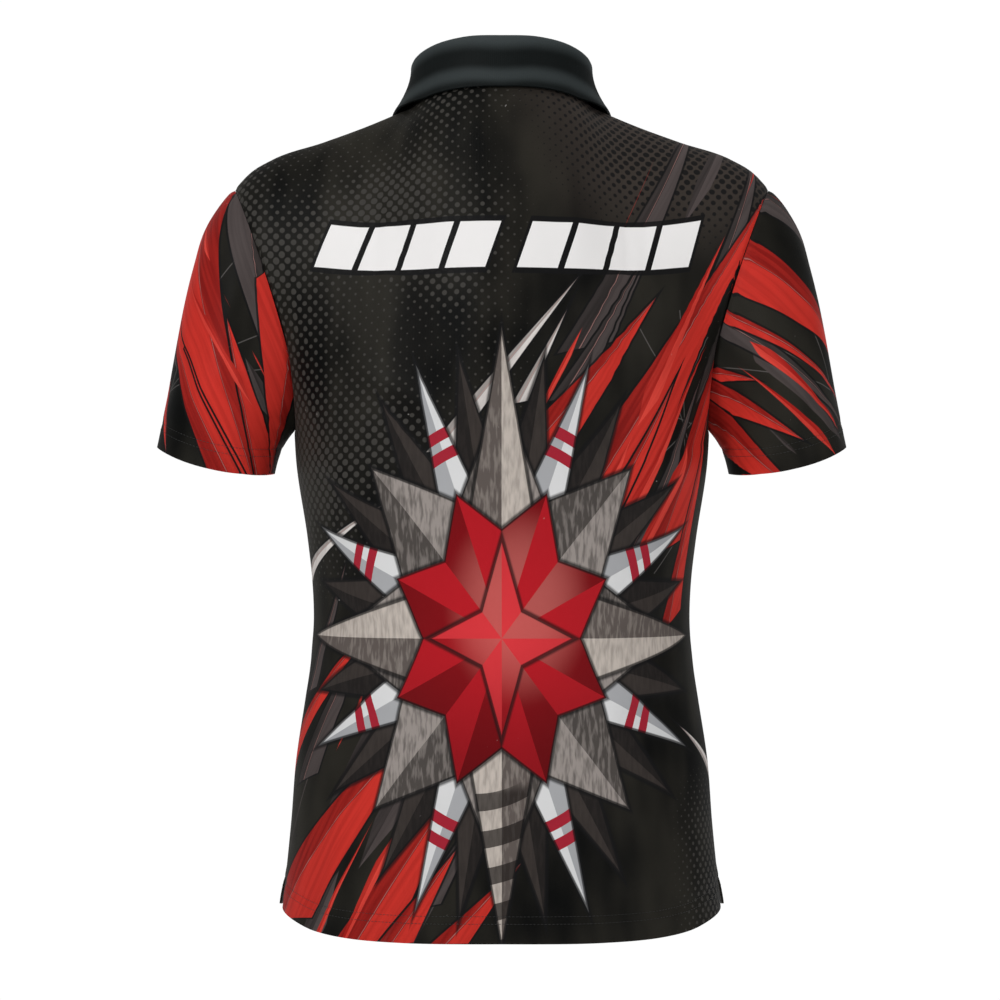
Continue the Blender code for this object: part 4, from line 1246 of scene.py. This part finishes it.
def base_material(name, roughness, sheen, specular=0.05):
    """A new material, its net and its shader."""
    made = bpy.data.materials.new(name)
    made.use_nodes = True
    net = Net(made.node_tree)
    shader = made.node_tree.nodes["Principled BSDF"]
    shader.inputs["Roughness"].default_value = roughness
    shader.inputs["Sheen Weight"].default_value = sheen
    shader.inputs["Specular IOR Level"].default_value = specular
    return made, net, shader


def cloth_xy(net):
    """The place on the flat cloth, as a vector and as x and y."""
    spot = Signal(net, net.node("ShaderNodeUVMap", (), uv_map="cloth").outputs[0])
    x, y, _ = net.parts(spot)
    return spot, x, y


def knit_bump(net, shader, groups, x, y, strength=0.25, extra=None):
    """Gives the shader the knit's loops, and any height added to them."""
    height = net.call(groups["knit"], x=x, y=y)
    if extra is not None:
        height = height + extra
    made = net.node("ShaderNodeBump", {"Strength": strength, "Distance": LOOP_HEIGHT, "Height": height})
    net.put(shader.inputs["Normal"], Signal(net, made.outputs[0]))


LOOP_HEIGHT = 0.00018  # of the knit

# ---- colours of the print, with painted shade in SHADE and partly painted sheen in the ground; a pair is for the two facets of a shard ----
BLACK = 0x131314
GROUND_AND_SHEEN = (0x050606, 0x282621)
# painted shade, laid in tall bands along the back's fold troughs
SHADE = 0x060606
RED = (0xC9332A, 0x7C1613)
BRIGHT = (0xD8453A, 0x9C1D18)
TAUPE = (0x4E4645, 0x2B2726)
PALE = (0xD9D3CF, 0x8E8783)
SHINE = 0xD9A29C
DOTS, DARK_DOTS = 0x3C3A37, 0x191818
HAZE = 0x38322E
SCRATCH = 0x6A6664
SPECK = 0xA9A5A2
WHITE = 0xE9E7E6

# ---- shards of the print: metres on the flat cloth, degrees; lean puts the body to one side of the tip ----
Blade = namedtuple("Blade", "x y turn length width lean")
BACK_TAUPE = [
    Blade(0.078, 0.486, 63.0, 0.270, 0.034, 0.2),
    Blade(0.046, 0.440, 58.0, 0.140, 0.020, -0.2),
    Blade(0.182, 0.520, 70.0, 0.190, 0.020, 0.1),
    Blade(-0.176, 0.130, 66.0, 0.170, 0.026, 0.2),
    Blade(-0.196, 0.200, 62.0, 0.120, 0.018, -0.2),
    Blade(0.104, 0.300, 66.0, 0.180, 0.020, 0.0),
    Blade(-0.060, 0.030, 61.0, 0.120, 0.018, 0.0),
]
BACK_RED = [
    Blade(0.086, 0.340, 62.0, 0.320, 0.064, 0.25),
    Blade(0.134, 0.316, 68.0, 0.270, 0.044, -0.2),
    Blade(0.030, 0.385, 55.0, 0.175, 0.040, 0.2),
    Blade(0.165, 0.262, 79.0, 0.180, 0.026, 0.1),
    Blade(0.060, 0.310, 60.0, 0.170, 0.022, -0.3),
    Blade(-0.185, 0.012, 54.0, 0.240, 0.060, 0.25),
    Blade(-0.125, -0.006, 57.0, 0.195, 0.046, -0.2),
    Blade(-0.082, -0.002, 60.0, 0.090, 0.024, 0.1),
    Blade(-0.262, 0.100, 46.0, 0.230, 0.030, 0.2),
    Blade(-0.040, 0.000, 50.0, 0.085, 0.022, 0.0),
]
BACK_PALE = [
    Blade(-0.040, 0.400, 54.0, 0.170, 0.016, 0.4),
    Blade(0.010, 0.436, 61.0, 0.085, 0.010, -0.4),
    Blade(-0.212, 0.292, 29.0, 0.135, 0.013, 0.3),
    Blade(0.232, 0.120, 143.0, 0.085, 0.014, -0.3),
]
FRONT_TAUPE = [
    Blade(-0.040, 0.230, 60.0, 0.260, 0.034, 0.2),
    Blade(0.062, 0.300, 62.0, 0.230, 0.028, -0.2),
    Blade(-0.180, 0.060, 62.0, 0.190, 0.026, 0.1),
    Blade(0.110, 0.380, 58.0, 0.160, 0.020, 0.2),
]
FRONT_RED = [
    Blade(-0.010, 0.180, 61.0, 0.330, 0.050, 0.25),
    Blade(0.060, 0.210, 66.0, 0.300, 0.040, -0.2),
    Blade(0.120, 0.230, 70.0, 0.260, 0.034, 0.2),
    Blade(-0.080, 0.110, 57.0, 0.240, 0.036, 0.2),
    Blade(-0.190, 0.010, 55.0, 0.240, 0.044, -0.2),
    Blade(-0.130, 0.000, 58.0, 0.170, 0.032, 0.1),
    Blade(0.170, 0.300, 64.0, 0.180, 0.024, 0.0),
]
FRONT_PALE = [
    Blade(-0.120, 0.250, 52.0, 0.190, 0.016, 0.4),
    Blade(0.030, 0.150, 60.0, 0.110, 0.010, -0.3),
]
# The sleeves' shards lie on the half behind, and the half in front mirrors them.
LEFT_TAUPE = [
    Blade(0.006, 0.246, -54.0, 0.210, 0.042, 0.2),
    Blade(0.078, 0.222, -76.0, 0.130, 0.026, -0.2),
]
LEFT_RED = [
    Blade(0.108, -0.018, 130.0, 0.210, 0.044, -0.3),
    Blade(0.138, -0.020, 117.0, 0.160, 0.046, -0.2),
    Blade(0.044, 0.126, -58.0, 0.175, 0.050, -0.2),
    Blade(0.084, 0.184, -70.0, 0.195, 0.058, 0.2),
    Blade(-0.030, 0.182, -50.0, 0.250, 0.074, 0.25),
    Blade(-0.020, 0.088, -56.0, 0.105, 0.026, 0.2),
]
RIGHT_TAUPE = [
    Blade(-0.040, 0.246, -62.0, 0.120, 0.034, 0.2),
    Blade(-0.118, 0.146, -52.0, 0.170, 0.020, 0.1),
]
RIGHT_RED = [
    Blade(-0.124, 0.218, -50.0, 0.225, 0.070, 0.25),
    Blade(-0.128, 0.170, -48.0, 0.190, 0.013, 0.0),
    Blade(-0.166, 0.130, -36.0, 0.085, 0.030, -0.25),
    Blade(-0.168, 0.100, -40.0, 0.125, 0.036, 0.25),
    Blade(-0.170, 0.062, -46.0, 0.125, 0.052, 0.2),
]

# Thin straight lines over the ground.
Line = namedtuple("Line", "x y turn length")
BACK_LINES = [
    Line(0.115, 0.505, -62.0, 0.150),
    Line(0.182, 0.500, -118.0, 0.110),
    Line(0.104, 0.440, -12.0, 0.084),
    Line(0.124, 0.392, 38.0, 0.085),
    Line(0.152, 0.520, -86.0, 0.120),
    Line(0.108, 0.345, 64.0, 0.120),
    Line(0.186, 0.415, -140.0, 0.090),
    Line(0.134, 0.300, 47.0, 0.080),
]
FRONT_LINES = [
    Line(0.115, 0.490, -62.0, 0.150),
    Line(0.184, 0.480, -118.0, 0.110),
    Line(0.104, 0.420, -12.0, 0.084),
    Line(0.126, 0.370, 38.0, 0.085),
    Line(0.110, 0.330, 64.0, 0.120),
]
SLEEVE_LINES = [
    Line(0.140, 0.165, -136.0, 0.190),
    Line(0.136, 0.110, -152.0, 0.150),
    Line(0.052, 0.172, -104.0, 0.140),
]

# The sleeves' print is drawn closer near the outer fold, by this share, so long shards look straight from behind.
NEAR_SHARE = 0.38
SLEEVE_ROUND = 0.0590

# ---- the star, from the back forwards: points, outer and inner radius, turn, facets, hatching, and an extra ----
Star = namedtuple("Star", "points outer inner turn light dark hatch extra")
STARS = [
    Star(16, 0.178, 0.098, 11.25, 0x3B3532, 0x211E1D, 0.3, None),
    Star(8, 0.182, 0.058, 22.5, 0xDDDDDD, 0x9B9C9F, 0.0, "two bands"),
    Star(8, 0.150, 0.090, 0.0, 0x958D88, 0x4B4643, 0.9, None),
    Star(4, 0.190, 0.050, 0.0, 0xC3B9B0, 0x5C5450, 0.8, "low stripes"),
    Star(8, 0.096, 0.067, 22.5, 0xB91C26, 0x720C12, 0.0, "glow"),
    Star(4, 0.062, 0.024, 0.0, 0xD9393F, 0x96131B, 0.0, "glow"),
]
STAR_CENTRE = (0.000, 0.247)
STAR_STRETCH = 1.32
STAR_BANDS, STAR_STRIPES = 0x9E2433, 0x241F1D
STAR_GLOW, STAR_SHADE = 0xF08C84, 0x3E0609

# ---- the row of blocks ----
BLOCK_CENTRE = (0.006, 0.5650)
BLOCK_BOW, BLOCK_SLANT = 0.43, 0.34
BLOCK_PITCH, BLOCK_HALF_SHARE = 0.0385, 0.43
BLOCK_GAP, BLOCK_REACH = 0.010, 0.1540
BLOCK_HALF_HEIGHT, BLOCK_BORDER = 0.0193, 0.0240

# ---- the collar: the fold's place up the cloth, and its colours, the lightest a painted sheen ----
COLLAR_FOLD_V = 0.0400
COLLAR_DARK, COLLAR_MIDDLE, COLLAR_SHEEN = 0x0E1111, 0x161A1A, 0x3F4546
RIB_WIDTH = 0.0016


class Print:
    """The paint of one cloth, laid on in layers at each place x, y of the flat cloth."""

    def __init__(self, net, groups, spot, x, y, turn):
        """The black ground in tall soft patches, partly the print's smoky look and partly painted sheen of soft
        folds, and fine brushed streaks along the shards.
        """
        self.net, self.groups, self.spot, self.x, self.y = net, groups, spot, x, y
        # Painted sheen: the lighter patches stand partly for sheen on soft folds and partly for the print's smoke.
        smoke_and_sheen = net.noise(net.join(x * 11.0, y * 4.5), 1.0, 3.0, 0.6)
        self.paint = net.mix(net.between(smoke_and_sheen, 0.33, 0.66), *GROUND_AND_SHEEN)
        cos, sin = math.cos(math.radians(turn)), math.sin(math.radians(turn))
        lanes = net.join((x * cos + y * sin) * 9.0, (y * cos - x * sin) * 260.0)
        self.streak = net.between(net.noise(lanes, 1.0, 1.0), 0.35, 0.7)

    def call(self, name, **values):
        return self.net.call(self.groups[name], **{"x": self.x, "y": self.y, **values})

    def lay(self, share, tint):
        """A colour over the paint, where share says."""
        self.paint = self.net.mix(share, self.paint, tint)

    def slashes(self, turn, length, width, seed, density, room, tones):
        """One family of small slashes."""
        mask, facet, along = self.call(
            "slashes", turn=math.radians(turn), length=length, width=width, seed=seed, density=density, room=room
        )
        tone = self.net.clamp(facet * 0.6 + along * 0.3 + self.streak * 0.3)
        self.lay(mask, self.net.mix(tone, *tones))

    def blades(self, rows, tones):
        """Shards laid over each other, each with a dark edge."""
        net, cover, fill, tone = self.net, None, None, None
        for b in rows:
            one = self.call(
                "blade", x0=b.x, y0=b.y, turn=math.radians(b.turn), length=b.length, width=b.width, lean=b.lean
            )
            if cover is None:
                cover, fill, tone = one
                continue
            fill = fill + (one[1] - fill) * one[0]
            tone = tone + (one[2] - tone) * one[0]
            cover = net.math("MAXIMUM", cover, one[0])
        tone = tone + self.streak * 0.26 - 0.06
        self.lay(cover * 0.85, BLACK)
        self.lay(fill, net.mix(net.clamp(tone - 1.0) * 0.5, net.mix(net.clamp(tone), *tones), SHINE))

    def dots(self, pitch, field, tint):
        """Round dots, larger where the field is stronger."""
        mask = self.call("halftone", pitch=pitch, level=field * 0.42)
        self.lay(mask * self.net.between(field, 0.05, 0.2), tint)

    def scratches(self, lines, **place):
        """Thin straight grey lines that cross each other."""
        total = None
        for one in lines:
            line = self.call(
                "scratch", x0=one.x, y0=one.y, turn=math.radians(one.turn), length=one.length, **place
            )
            total = line if total is None else self.net.math("MAXIMUM", total, line)
        self.lay(total * 0.6, SCRATCH)

    def finish(self, shader, u):
        """Specks of paint, then the knit, whose columns follow u."""
        speck = self.net.between(self.net.noise(self.spot, 190.0, 1.0), 0.79, 0.81)
        rare = self.net.between(self.net.noise(self.spot, 9.0, 1.0), 0.52, 0.6)
        self.lay(speck * rare * 0.5, SPECK)
        self.net.put(shader.inputs["Base Color"], self.paint)
        knit_bump(self.net, shader, self.groups, u, self.y)


def shirt_print(name, groups, turn, taupe, red, pale, under, over=(), sleeve=0):
    """A printed cloth. under draws what lies under the shards and says where small slashes go, and over holds
    what is drawn last. sleeve is 1 for the left sleeve and -1 for the right."""
    made, net, shader = base_material(name, 0.48, 0.005)
    spot, u, y = cloth_xy(net)
    cloth = Print(net, groups, spot, sleeve_place(net, u, sleeve) if sleeve else u, y, turn)
    room = under(cloth)
    cloth.slashes(turn + 3, 0.30, 0.040, 8, 0.60, room, TAUPE)
    cloth.blades(taupe, TAUPE)
    cloth.blades(red, RED)
    cloth.slashes(turn + 5, 0.20, 0.026, 21, 0.50, room, BRIGHT)
    if pale:
        cloth.blades(pale, PALE)
    for draw in over:
        draw(cloth)
    cloth.finish(shader, u)
    return made


def under_back(cloth):
    """Painted shade in tall bands along two fold troughs, dots on the left and low on the right, haze with dark
    dots high on the right.
    """
    net, x, y = cloth.net, cloth.x, cloth.y
    swing = net.noise(cloth.spot, 6.5, 1.0)
    # Painted shade: two tall dark bands where the back's folds have their troughs.
    for centre, half, low, high in ((-0.072, 0.030, 0.36, 0.58), (0.150, 0.030, 0.34, 0.52)):
        away = net.math("ABSOLUTE", x - centre)
        reach = net.between(y, low, low + 0.06) * net.between(y, high, high - 0.06)
        cloth.lay(net.between(away, half, 0.0) * reach * 0.7, SHADE)
    left = net.between(x, 0.05, -0.05) * net.between(y, 0.20, 0.40)
    cloth.dots(0.0073, net.clamp(left * net.between(swing, 0.34, 0.66, 0.18, 1.0)), DOTS)
    high = net.between(x + (y - 0.62) * 0.4, 0.01, 0.12) * net.between(y, 0.54, 0.64)
    cloth.lay(high, HAZE)
    cloth.dots(0.0071, net.clamp(high * (swing + 0.35)), DARK_DOTS)
    low = net.between(x, 0.13, 0.20) * net.between(y, 0.16, 0.08)
    cloth.dots(0.0066, low * 0.8, DOTS)
    cloth.scratches(BACK_LINES)
    cross = y * 0.53 - x * 0.85
    upper = net.between(cross, 0.24, 0.17) * net.between(cross, 0.00, 0.06) * net.between(y, 0.26, 0.34)
    lower = net.between(cross, 0.24, 0.18) * net.between(cross, 0.00, 0.08) * net.between(y, 0.26, 0.18)
    return net.clamp(upper + lower)


def under_front(cloth):
    """Dots on the wearer's right, and thin lines."""
    net, x, y = cloth.net, cloth.x, cloth.y
    swing = net.noise(cloth.spot, 6.5, 1.0)
    field = net.clamp(net.between(x, 0.02, -0.08) * net.between(y, 0.25, 0.45))
    cloth.dots(0.0073, field * net.between(swing, 0.34, 0.66, 0.18, 1.0), DOTS)
    cloth.scratches(FRONT_LINES)
    cross = y * 0.53 - x * 0.85
    return net.between(cross, 0.22, 0.14) * net.between(cross, -0.12, -0.04)


def sleeve_place(net, u, sign):
    """The place round a sleeve from its outer fold, the same in front and behind."""
    near = (1.0 - net.math("COSINE", u / SLEEVE_ROUND)) * SLEEVE_ROUND
    return (net.math("ABSOLUTE", u) * (1 - NEAR_SHARE) + near * NEAR_SHARE) * sign


def under_sleeve(cloth):
    """Thin lines, the same on both sleeves."""
    cloth.scratches(SLEEVE_LINES, x=cloth.net.math("ABSOLUTE", cloth.x))
    return cloth.net.between(cloth.net.noise(cloth.spot, 9.0, 1.0), 0.46, 0.60)


def blocks(cloth):
    """A row of plain slanted white blocks with a gap in the middle."""
    net, x = cloth.net, cloth.x
    u, v = x - BLOCK_CENTRE[0], cloth.y - BLOCK_CENTRE[1] - x * x * BLOCK_BOW
    slanted = u - v * BLOCK_SLANT
    past = slanted - net.math("SIGN", slanted) * BLOCK_GAP
    inside = net.math("LESS_THAN", net.math("ABSOLUTE", past), BLOCK_REACH)
    inside = inside * net.math("GREATER_THAN", net.math("ABSOLUTE", slanted), BLOCK_GAP)
    cell = net.math("FRACT", past / BLOCK_PITCH)
    shape = net.math("LESS_THAN", net.math("ABSOLUTE", cell - 0.5), BLOCK_HALF_SHARE)
    height = net.math("ABSOLUTE", v)
    cloth.lay(net.clamp((BLOCK_BORDER - height) / 0.0004) * inside * 0.9, BLACK)
    cloth.lay(net.clamp((BLOCK_HALF_HEIGHT - height) / 0.0004) * shape * inside, WHITE)


def emblem(cloth):
    """A faceted star over a fan of kites."""
    net = cloth.net
    u, v = cloth.x - STAR_CENTRE[0], (cloth.y - STAR_CENTRE[1]) / STAR_STRETCH
    hatch = net.between(net.noise(net.join(cloth.x * 330.0, cloth.y * 60.0), 1.0, 2.0), 0.32, 0.72)
    for s in STARS:
        mask, side, share, edge = cloth.call(
            "star", x=u, y=v, points=s.points, outer=s.outer, inner=s.inner, turn=math.radians(s.turn)
        )
        tone = side * 0.75 + share * 0.25
        if s.extra == "two bands":
            band = net.math("ABSOLUTE", net.math("ABSOLUTE", share - 0.70) - 0.035)
            tone = net.mix(tone, s.light, s.dark)
            tone = net.mix(net.math("LESS_THAN", band, 0.020), tone, STAR_BANDS)
        elif s.extra == "low stripes":
            band = net.math("GREATER_THAN", net.math("SINE", share * 52.0 + u * 60.0), 0.1)
            tone = net.mix(net.clamp(tone + hatch * 0.4 - 0.1), s.light, s.dark)
            tone = net.mix(band * net.between(v, -0.085, -0.095) * 0.85, tone, STAR_STRIPES)
        else:
            tone = net.mix(net.clamp(tone + (hatch - 0.4) * s.hatch), s.light, s.dark)
        if s.extra == "glow":  # on the upper right, with shade below
            glow = (u - 0.014) * (u - 0.014) + (v - 0.020) * (v - 0.020)
            tone = net.mix(net.between(glow, 0.0042, 0.0) * side * 0.34, tone, STAR_GLOW)
            tone = net.mix(net.between(v, 0.01, -0.10) * 0.45, tone, STAR_SHADE)
        tone = net.mix(net.between(edge, -0.0017, -0.0008) * 0.85, tone, BLACK)
        around = net.mix(net.clamp(1.6 - edge / 0.0016) * 0.8, cloth.paint, BLACK)
        cloth.paint = net.mix(mask, around, tone)


def collar_material(groups):
    """Ribbed knit, with painted sheen along the fold and above the edge behind."""
    made, net, shader = base_material("collar_knit", 0.55, 0.006)
    spot, x, y = cloth_xy(net)
    paint = net.mix(net.noise(spot, 30.0), COLLAR_DARK, COLLAR_MIDDLE)
    past = y - COLLAR_FOLD_V
    # Painted sheen: a light band along the top fold and one above the edge, only behind.
    fold = net.between(past, 0.013, 0.001)
    swell = net.between(net.math("ABSOLUTE", past - 0.0315), 0.010, 0.001)
    behind = net.between(net.math("ABSOLUTE", x), 0.20, 0.09) * net.math("GREATER_THAN", past, -0.012)
    paint = net.mix(net.clamp(fold * 0.8 + swell * 0.6) * behind, paint, COLLAR_SHEEN)
    net.put(shader.inputs["Base Color"], paint)
    rib = net.math("COSINE", x * FULL_TURN / RIB_WIDTH) * 0.8
    knit_bump(net, shader, groups, x, y, 0.22, rib)
    return made


def placket_material(groups):
    """Plain dark knit."""
    made, net, shader = base_material("placket_cloth", 0.58, 0.02)
    spot, x, y = cloth_xy(net)
    net.put(shader.inputs["Base Color"], net.mix(net.noise(spot, 40.0), 0x151617, 0x1C1C1C))
    knit_bump(net, shader, groups, x, y)
    return made


def plain_material(name, tint, roughness, sheen=0.0):
    """One colour, glossier than the print."""
    made, _, shader = base_material(name, roughness, sheen, 0.3)
    shader.inputs["Base Color"].default_value = colour(tint)
    return made


# ======================================================================================
# Build
# ======================================================================================
groups = shared_groups()
looks = {
    "back": shirt_print("cloth_back", groups, 58, BACK_TAUPE, BACK_RED, BACK_PALE, under_back, (emblem, blocks)),
    "front": shirt_print("cloth_front", groups, 58, FRONT_TAUPE, FRONT_RED, FRONT_PALE, under_front),
    "left": shirt_print("cloth_left", groups, -48, LEFT_TAUPE, LEFT_RED, None, under_sleeve, sleeve=1),
    "right": shirt_print("cloth_right", groups, -62, RIGHT_TAUPE, RIGHT_RED, None, under_sleeve, sleeve=-1),
    "collar": collar_material(groups),
    "placket": placket_material(groups),
    "inside": plain_material("cloth_inside", 0x2E2D2E, 0.7, 0.02),
    "thread": plain_material("thread", 0x1C1C1C, 0.5, 0.1),
    "button": plain_material("button_resin", 0x202022, 0.28),
}

back, front = panel_sheet(BACK), panel_sheet(FRONT)
left, right = sleeve_sheet(1, LEFT_SLEEVE_CREASES, 5), sleeve_sheet(-1, RIGHT_SLEEVE_CREASES, 6)

slot_foot = neck_points(np.array([180.0]))[0, 2] - PLACKET_LENGTH + PLACKET_OVERLAP


def beside_slot(i, j):
    """Which of the front's faces stay: all but those in the placket's slot."""
    away, height = np.abs(front["points"][..., 0]), front["points"][..., 2]
    inside = np.maximum(away[i, j], away[i, j + 1]) < SLOT_HALF_WIDTH + 1e-4
    return ~(inside & (height[i, j] >= slot_foot))


pieces = {
    "back": shell("cloth_back", back, HEM_DEPTH, looks["back"]),
    "front": shell("cloth_front", front, HEM_DEPTH, looks["front"], beside_slot),
    "left": shell("cloth_sleeve_left", left, SLEEVE_HEM_DEPTH, looks["left"]),
    "right": shell("cloth_sleeve_right", right, SLEEVE_HEM_DEPTH, looks["right"]),
}
collar = collar_sheet(surface_tree(back["points"], front["points"]))
pieces["collar"] = shell("collar_knit", collar, 0.0, looks["collar"])

top_strip = strip_sheet(front, SEAM_GAP, PLACKET_CLOTH)
pieces["placket_top"] = shell("placket_top", top_strip, 0.0, looks["placket"])
under_strip = strip_sheet(front, -CLOTH - SEAM_GAP, -PLACKET_CLOTH)
pieces["placket_under"] = shell("placket_under", under_strip, 0.0, looks["placket"])

for key, slot, node in (
    ("back", "cloth", "back"), ("front", "cloth", "front"), ("left", "cloth", "sleeve_left"),
    ("right", "cloth", "sleeve_right"), ("collar", "collar", "collar"),
    ("placket_top", "cloth", "placket_top"), ("placket_under", "cloth", "placket_under"),
):
    add_piece(pieces[key], slot, node)

seats = list(button_seats(top_strip))
for k, seat in enumerate(seats):
    add_piece(button(f"resin_button_{k + 1}", seat), "button", f"button_{k + 1}")
add_piece(thread_bars("button_thread", seats))

nodes = stitch_nodes()
rise = THREAD_RADIUS * 0.35  # a stitch lies mostly in the cloth
sewn = {}
for key, sheet, depth in (
    ("back", back, HEM_DEPTH), ("front", front, HEM_DEPTH),
    ("left", left, SLEEVE_HEM_DEPTH), ("right", right, SLEEVE_HEM_DEPTH),
):
    lines = [hem_line(sheet, depth - BELOW_HEM_TOP - extra, rise) for extra in (0.0, TWIN_ROWS)]
    sewn[key] = [stitched(f"hem_stitches_{key}", [resampled(line, 0.004) for line in lines], nodes)]


def placket_lines(strip):
    """Lines of stitches down both long edges of the strip, and two across its foot."""
    edge = PLACKET_HALF_WIDTH - PLACKET_SEWN_IN
    rows = (strip["points"] + strip["out"] * rise)[4:]
    beside = [np.array([line_at(x, row[:, 0], row) for row in rows]) for x in (-edge, edge)]
    foot = rows[0][np.abs(rows[0][:, 0]) <= edge + 1e-6] + [0, 0, -0.0006]
    return [*beside, foot, foot + (beside[0][7] - beside[0][0])]


def buttonhole(seat):
    """The line of stitches round a buttonhole under a button, longer than the button is wide."""
    long, half = BUTTON_RADIUS + 0.0022, 0.0009
    outline = [(half, -long + half), (half, long - half), (-half, long - half), (-half, -long + half)]
    turns = np.linspace(0, math.pi, 6)[1:-1]
    ends = [(half * math.cos(t), long - half + half * math.sin(t)) for t in turns]
    path = [outline[0], outline[1], *ends, outline[2], outline[3], *[(-x, -y) for x, y in ends], outline[0]]
    level = -BUTTON_THICKNESS / 2 - BUTTON_LIFT + 0.00035
    return resampled(np.array([seat @ Vector((x, y, level)) for x, y in path]), 0.0006)


sewn["placket_top"] = [
    stitched("placket_stitches", [resampled(line, 0.003) for line in placket_lines(top_strip)], nodes),
    stitched("buttonhole_stitches", [buttonhole(seat) for seat in seats], nodes, *BUTTONHOLE_STITCHES),
]
for thread in sum(sewn.values(), []):
    add_piece(thread)

# The flat cut of what shows of each piece of cloth.
Cut = namedtuple("Cut", "key width length area held rests_on")


# ======================================================================================
# Studio
# ======================================================================================
# name, place, aim, size, watts
LAMPS = [
    ("key", (1.5, 2.2, 1.3), (0, 0, -0.3), 0.7, 44),
    ("fill", (-1.7, 2.3, 0.2), (0, 0, -0.35), 1.2, 15),
    ("top", (-0.3, -0.2, 2.0), (0, 0, -0.2), 1.0, 18),
    ("front_key", (1.3, -2.3, 1.2), (0, 0, -0.3), 1.0, 34),
    ("front_fill", (-1.9, -1.8, 0.0), (0, 0, -0.3), 1.4, 14),
]
FLOOR_RADIUS, FLOOR_Z, FLOOR_SIDES = 2.15, -1.15, 96
FLOOR_FADE = (0.9, 2.1)
# Surfaces are lit by a dimmer white than the camera sees.
WORLD_LIGHT, WORLD_SEEN = 0.32, 1.02
CAMERA_PLACE = (0.00145, 2.4, -0.3383)
PICTURE_WIDTH = 0.85  # at the shirt's middle


def floor():
    """A pale round floor that fades into the white all round."""
    turns = [2 * math.pi * k / FLOOR_SIDES for k in range(FLOOR_SIDES)]
    rim = [(FLOOR_RADIUS * math.cos(t), FLOOR_RADIUS * math.sin(t), FLOOR_Z) for t in turns]
    mesh = bpy.data.meshes.new("studio_floor")
    mesh.from_pydata(rim, [], [range(FLOOR_SIDES)])
    made, net, shader = base_material("studio_white", 0.9, 0.0)
    shader.inputs["Base Color"].default_value = (0.86, 0.86, 0.86, 1)
    shader.inputs["Emission Color"].default_value = (1, 1, 1, 1)
    x, y = net.parts(Signal(net, net.node("ShaderNodeTexCoord").outputs["Object"]))[:2]
    away = net.math("SQRT", x * x + y * y)
    net.put(shader.inputs["Emission Strength"], net.between(away, *FLOOR_FADE) * 0.7)
    place("studio_floor", mesh, made)


def white_world():
    """White all round."""
    world = bpy.data.worlds.new("studio")
    bpy.context.scene.world = world
    world.use_nodes = True
    net = Net(world.node_tree)
    white = world.node_tree.nodes["Background"]
    white.inputs["Color"].default_value = (1, 1, 1, 1)
    seen = Signal(net, net.node("ShaderNodeLightPath").outputs["Is Camera Ray"])
    net.put(white.inputs["Strength"], WORLD_LIGHT + seen * (WORLD_SEEN - WORLD_LIGHT))


def studio():
    """The floor, the white all round, soft lamps and the camera."""
    floor()
    white_world()
    for name, spot, aim, size, watts in LAMPS:
        data = bpy.data.lights.new(name, "AREA")
        data.size, data.energy = size, watts
        lamp = bpy.data.objects.new(name, data)
        lamp.location = spot
        lamp.rotation_euler = (Vector(aim) - Vector(spot)).to_track_quat("-Z", "Y").to_euler()
        lamp.visible_glossy = spot[1] > 0  # the others only fill
        bpy.context.scene.collection.objects.link(lamp)

    data = bpy.data.cameras.new("camera")
    data.sensor_width = 36.0
    data.lens = data.sensor_width * CAMERA_PLACE[1] / PICTURE_WIDTH
    camera = bpy.data.objects.new("camera", data)
    camera.location = CAMERA_PLACE
    camera.rotation_euler = (math.pi / 2, 0, math.pi)
    bpy.context.scene.collection.objects.link(camera)
    bpy.context.scene.camera = camera
    bpy.context.scene.view_settings.view_transform = "Standard"


studio()
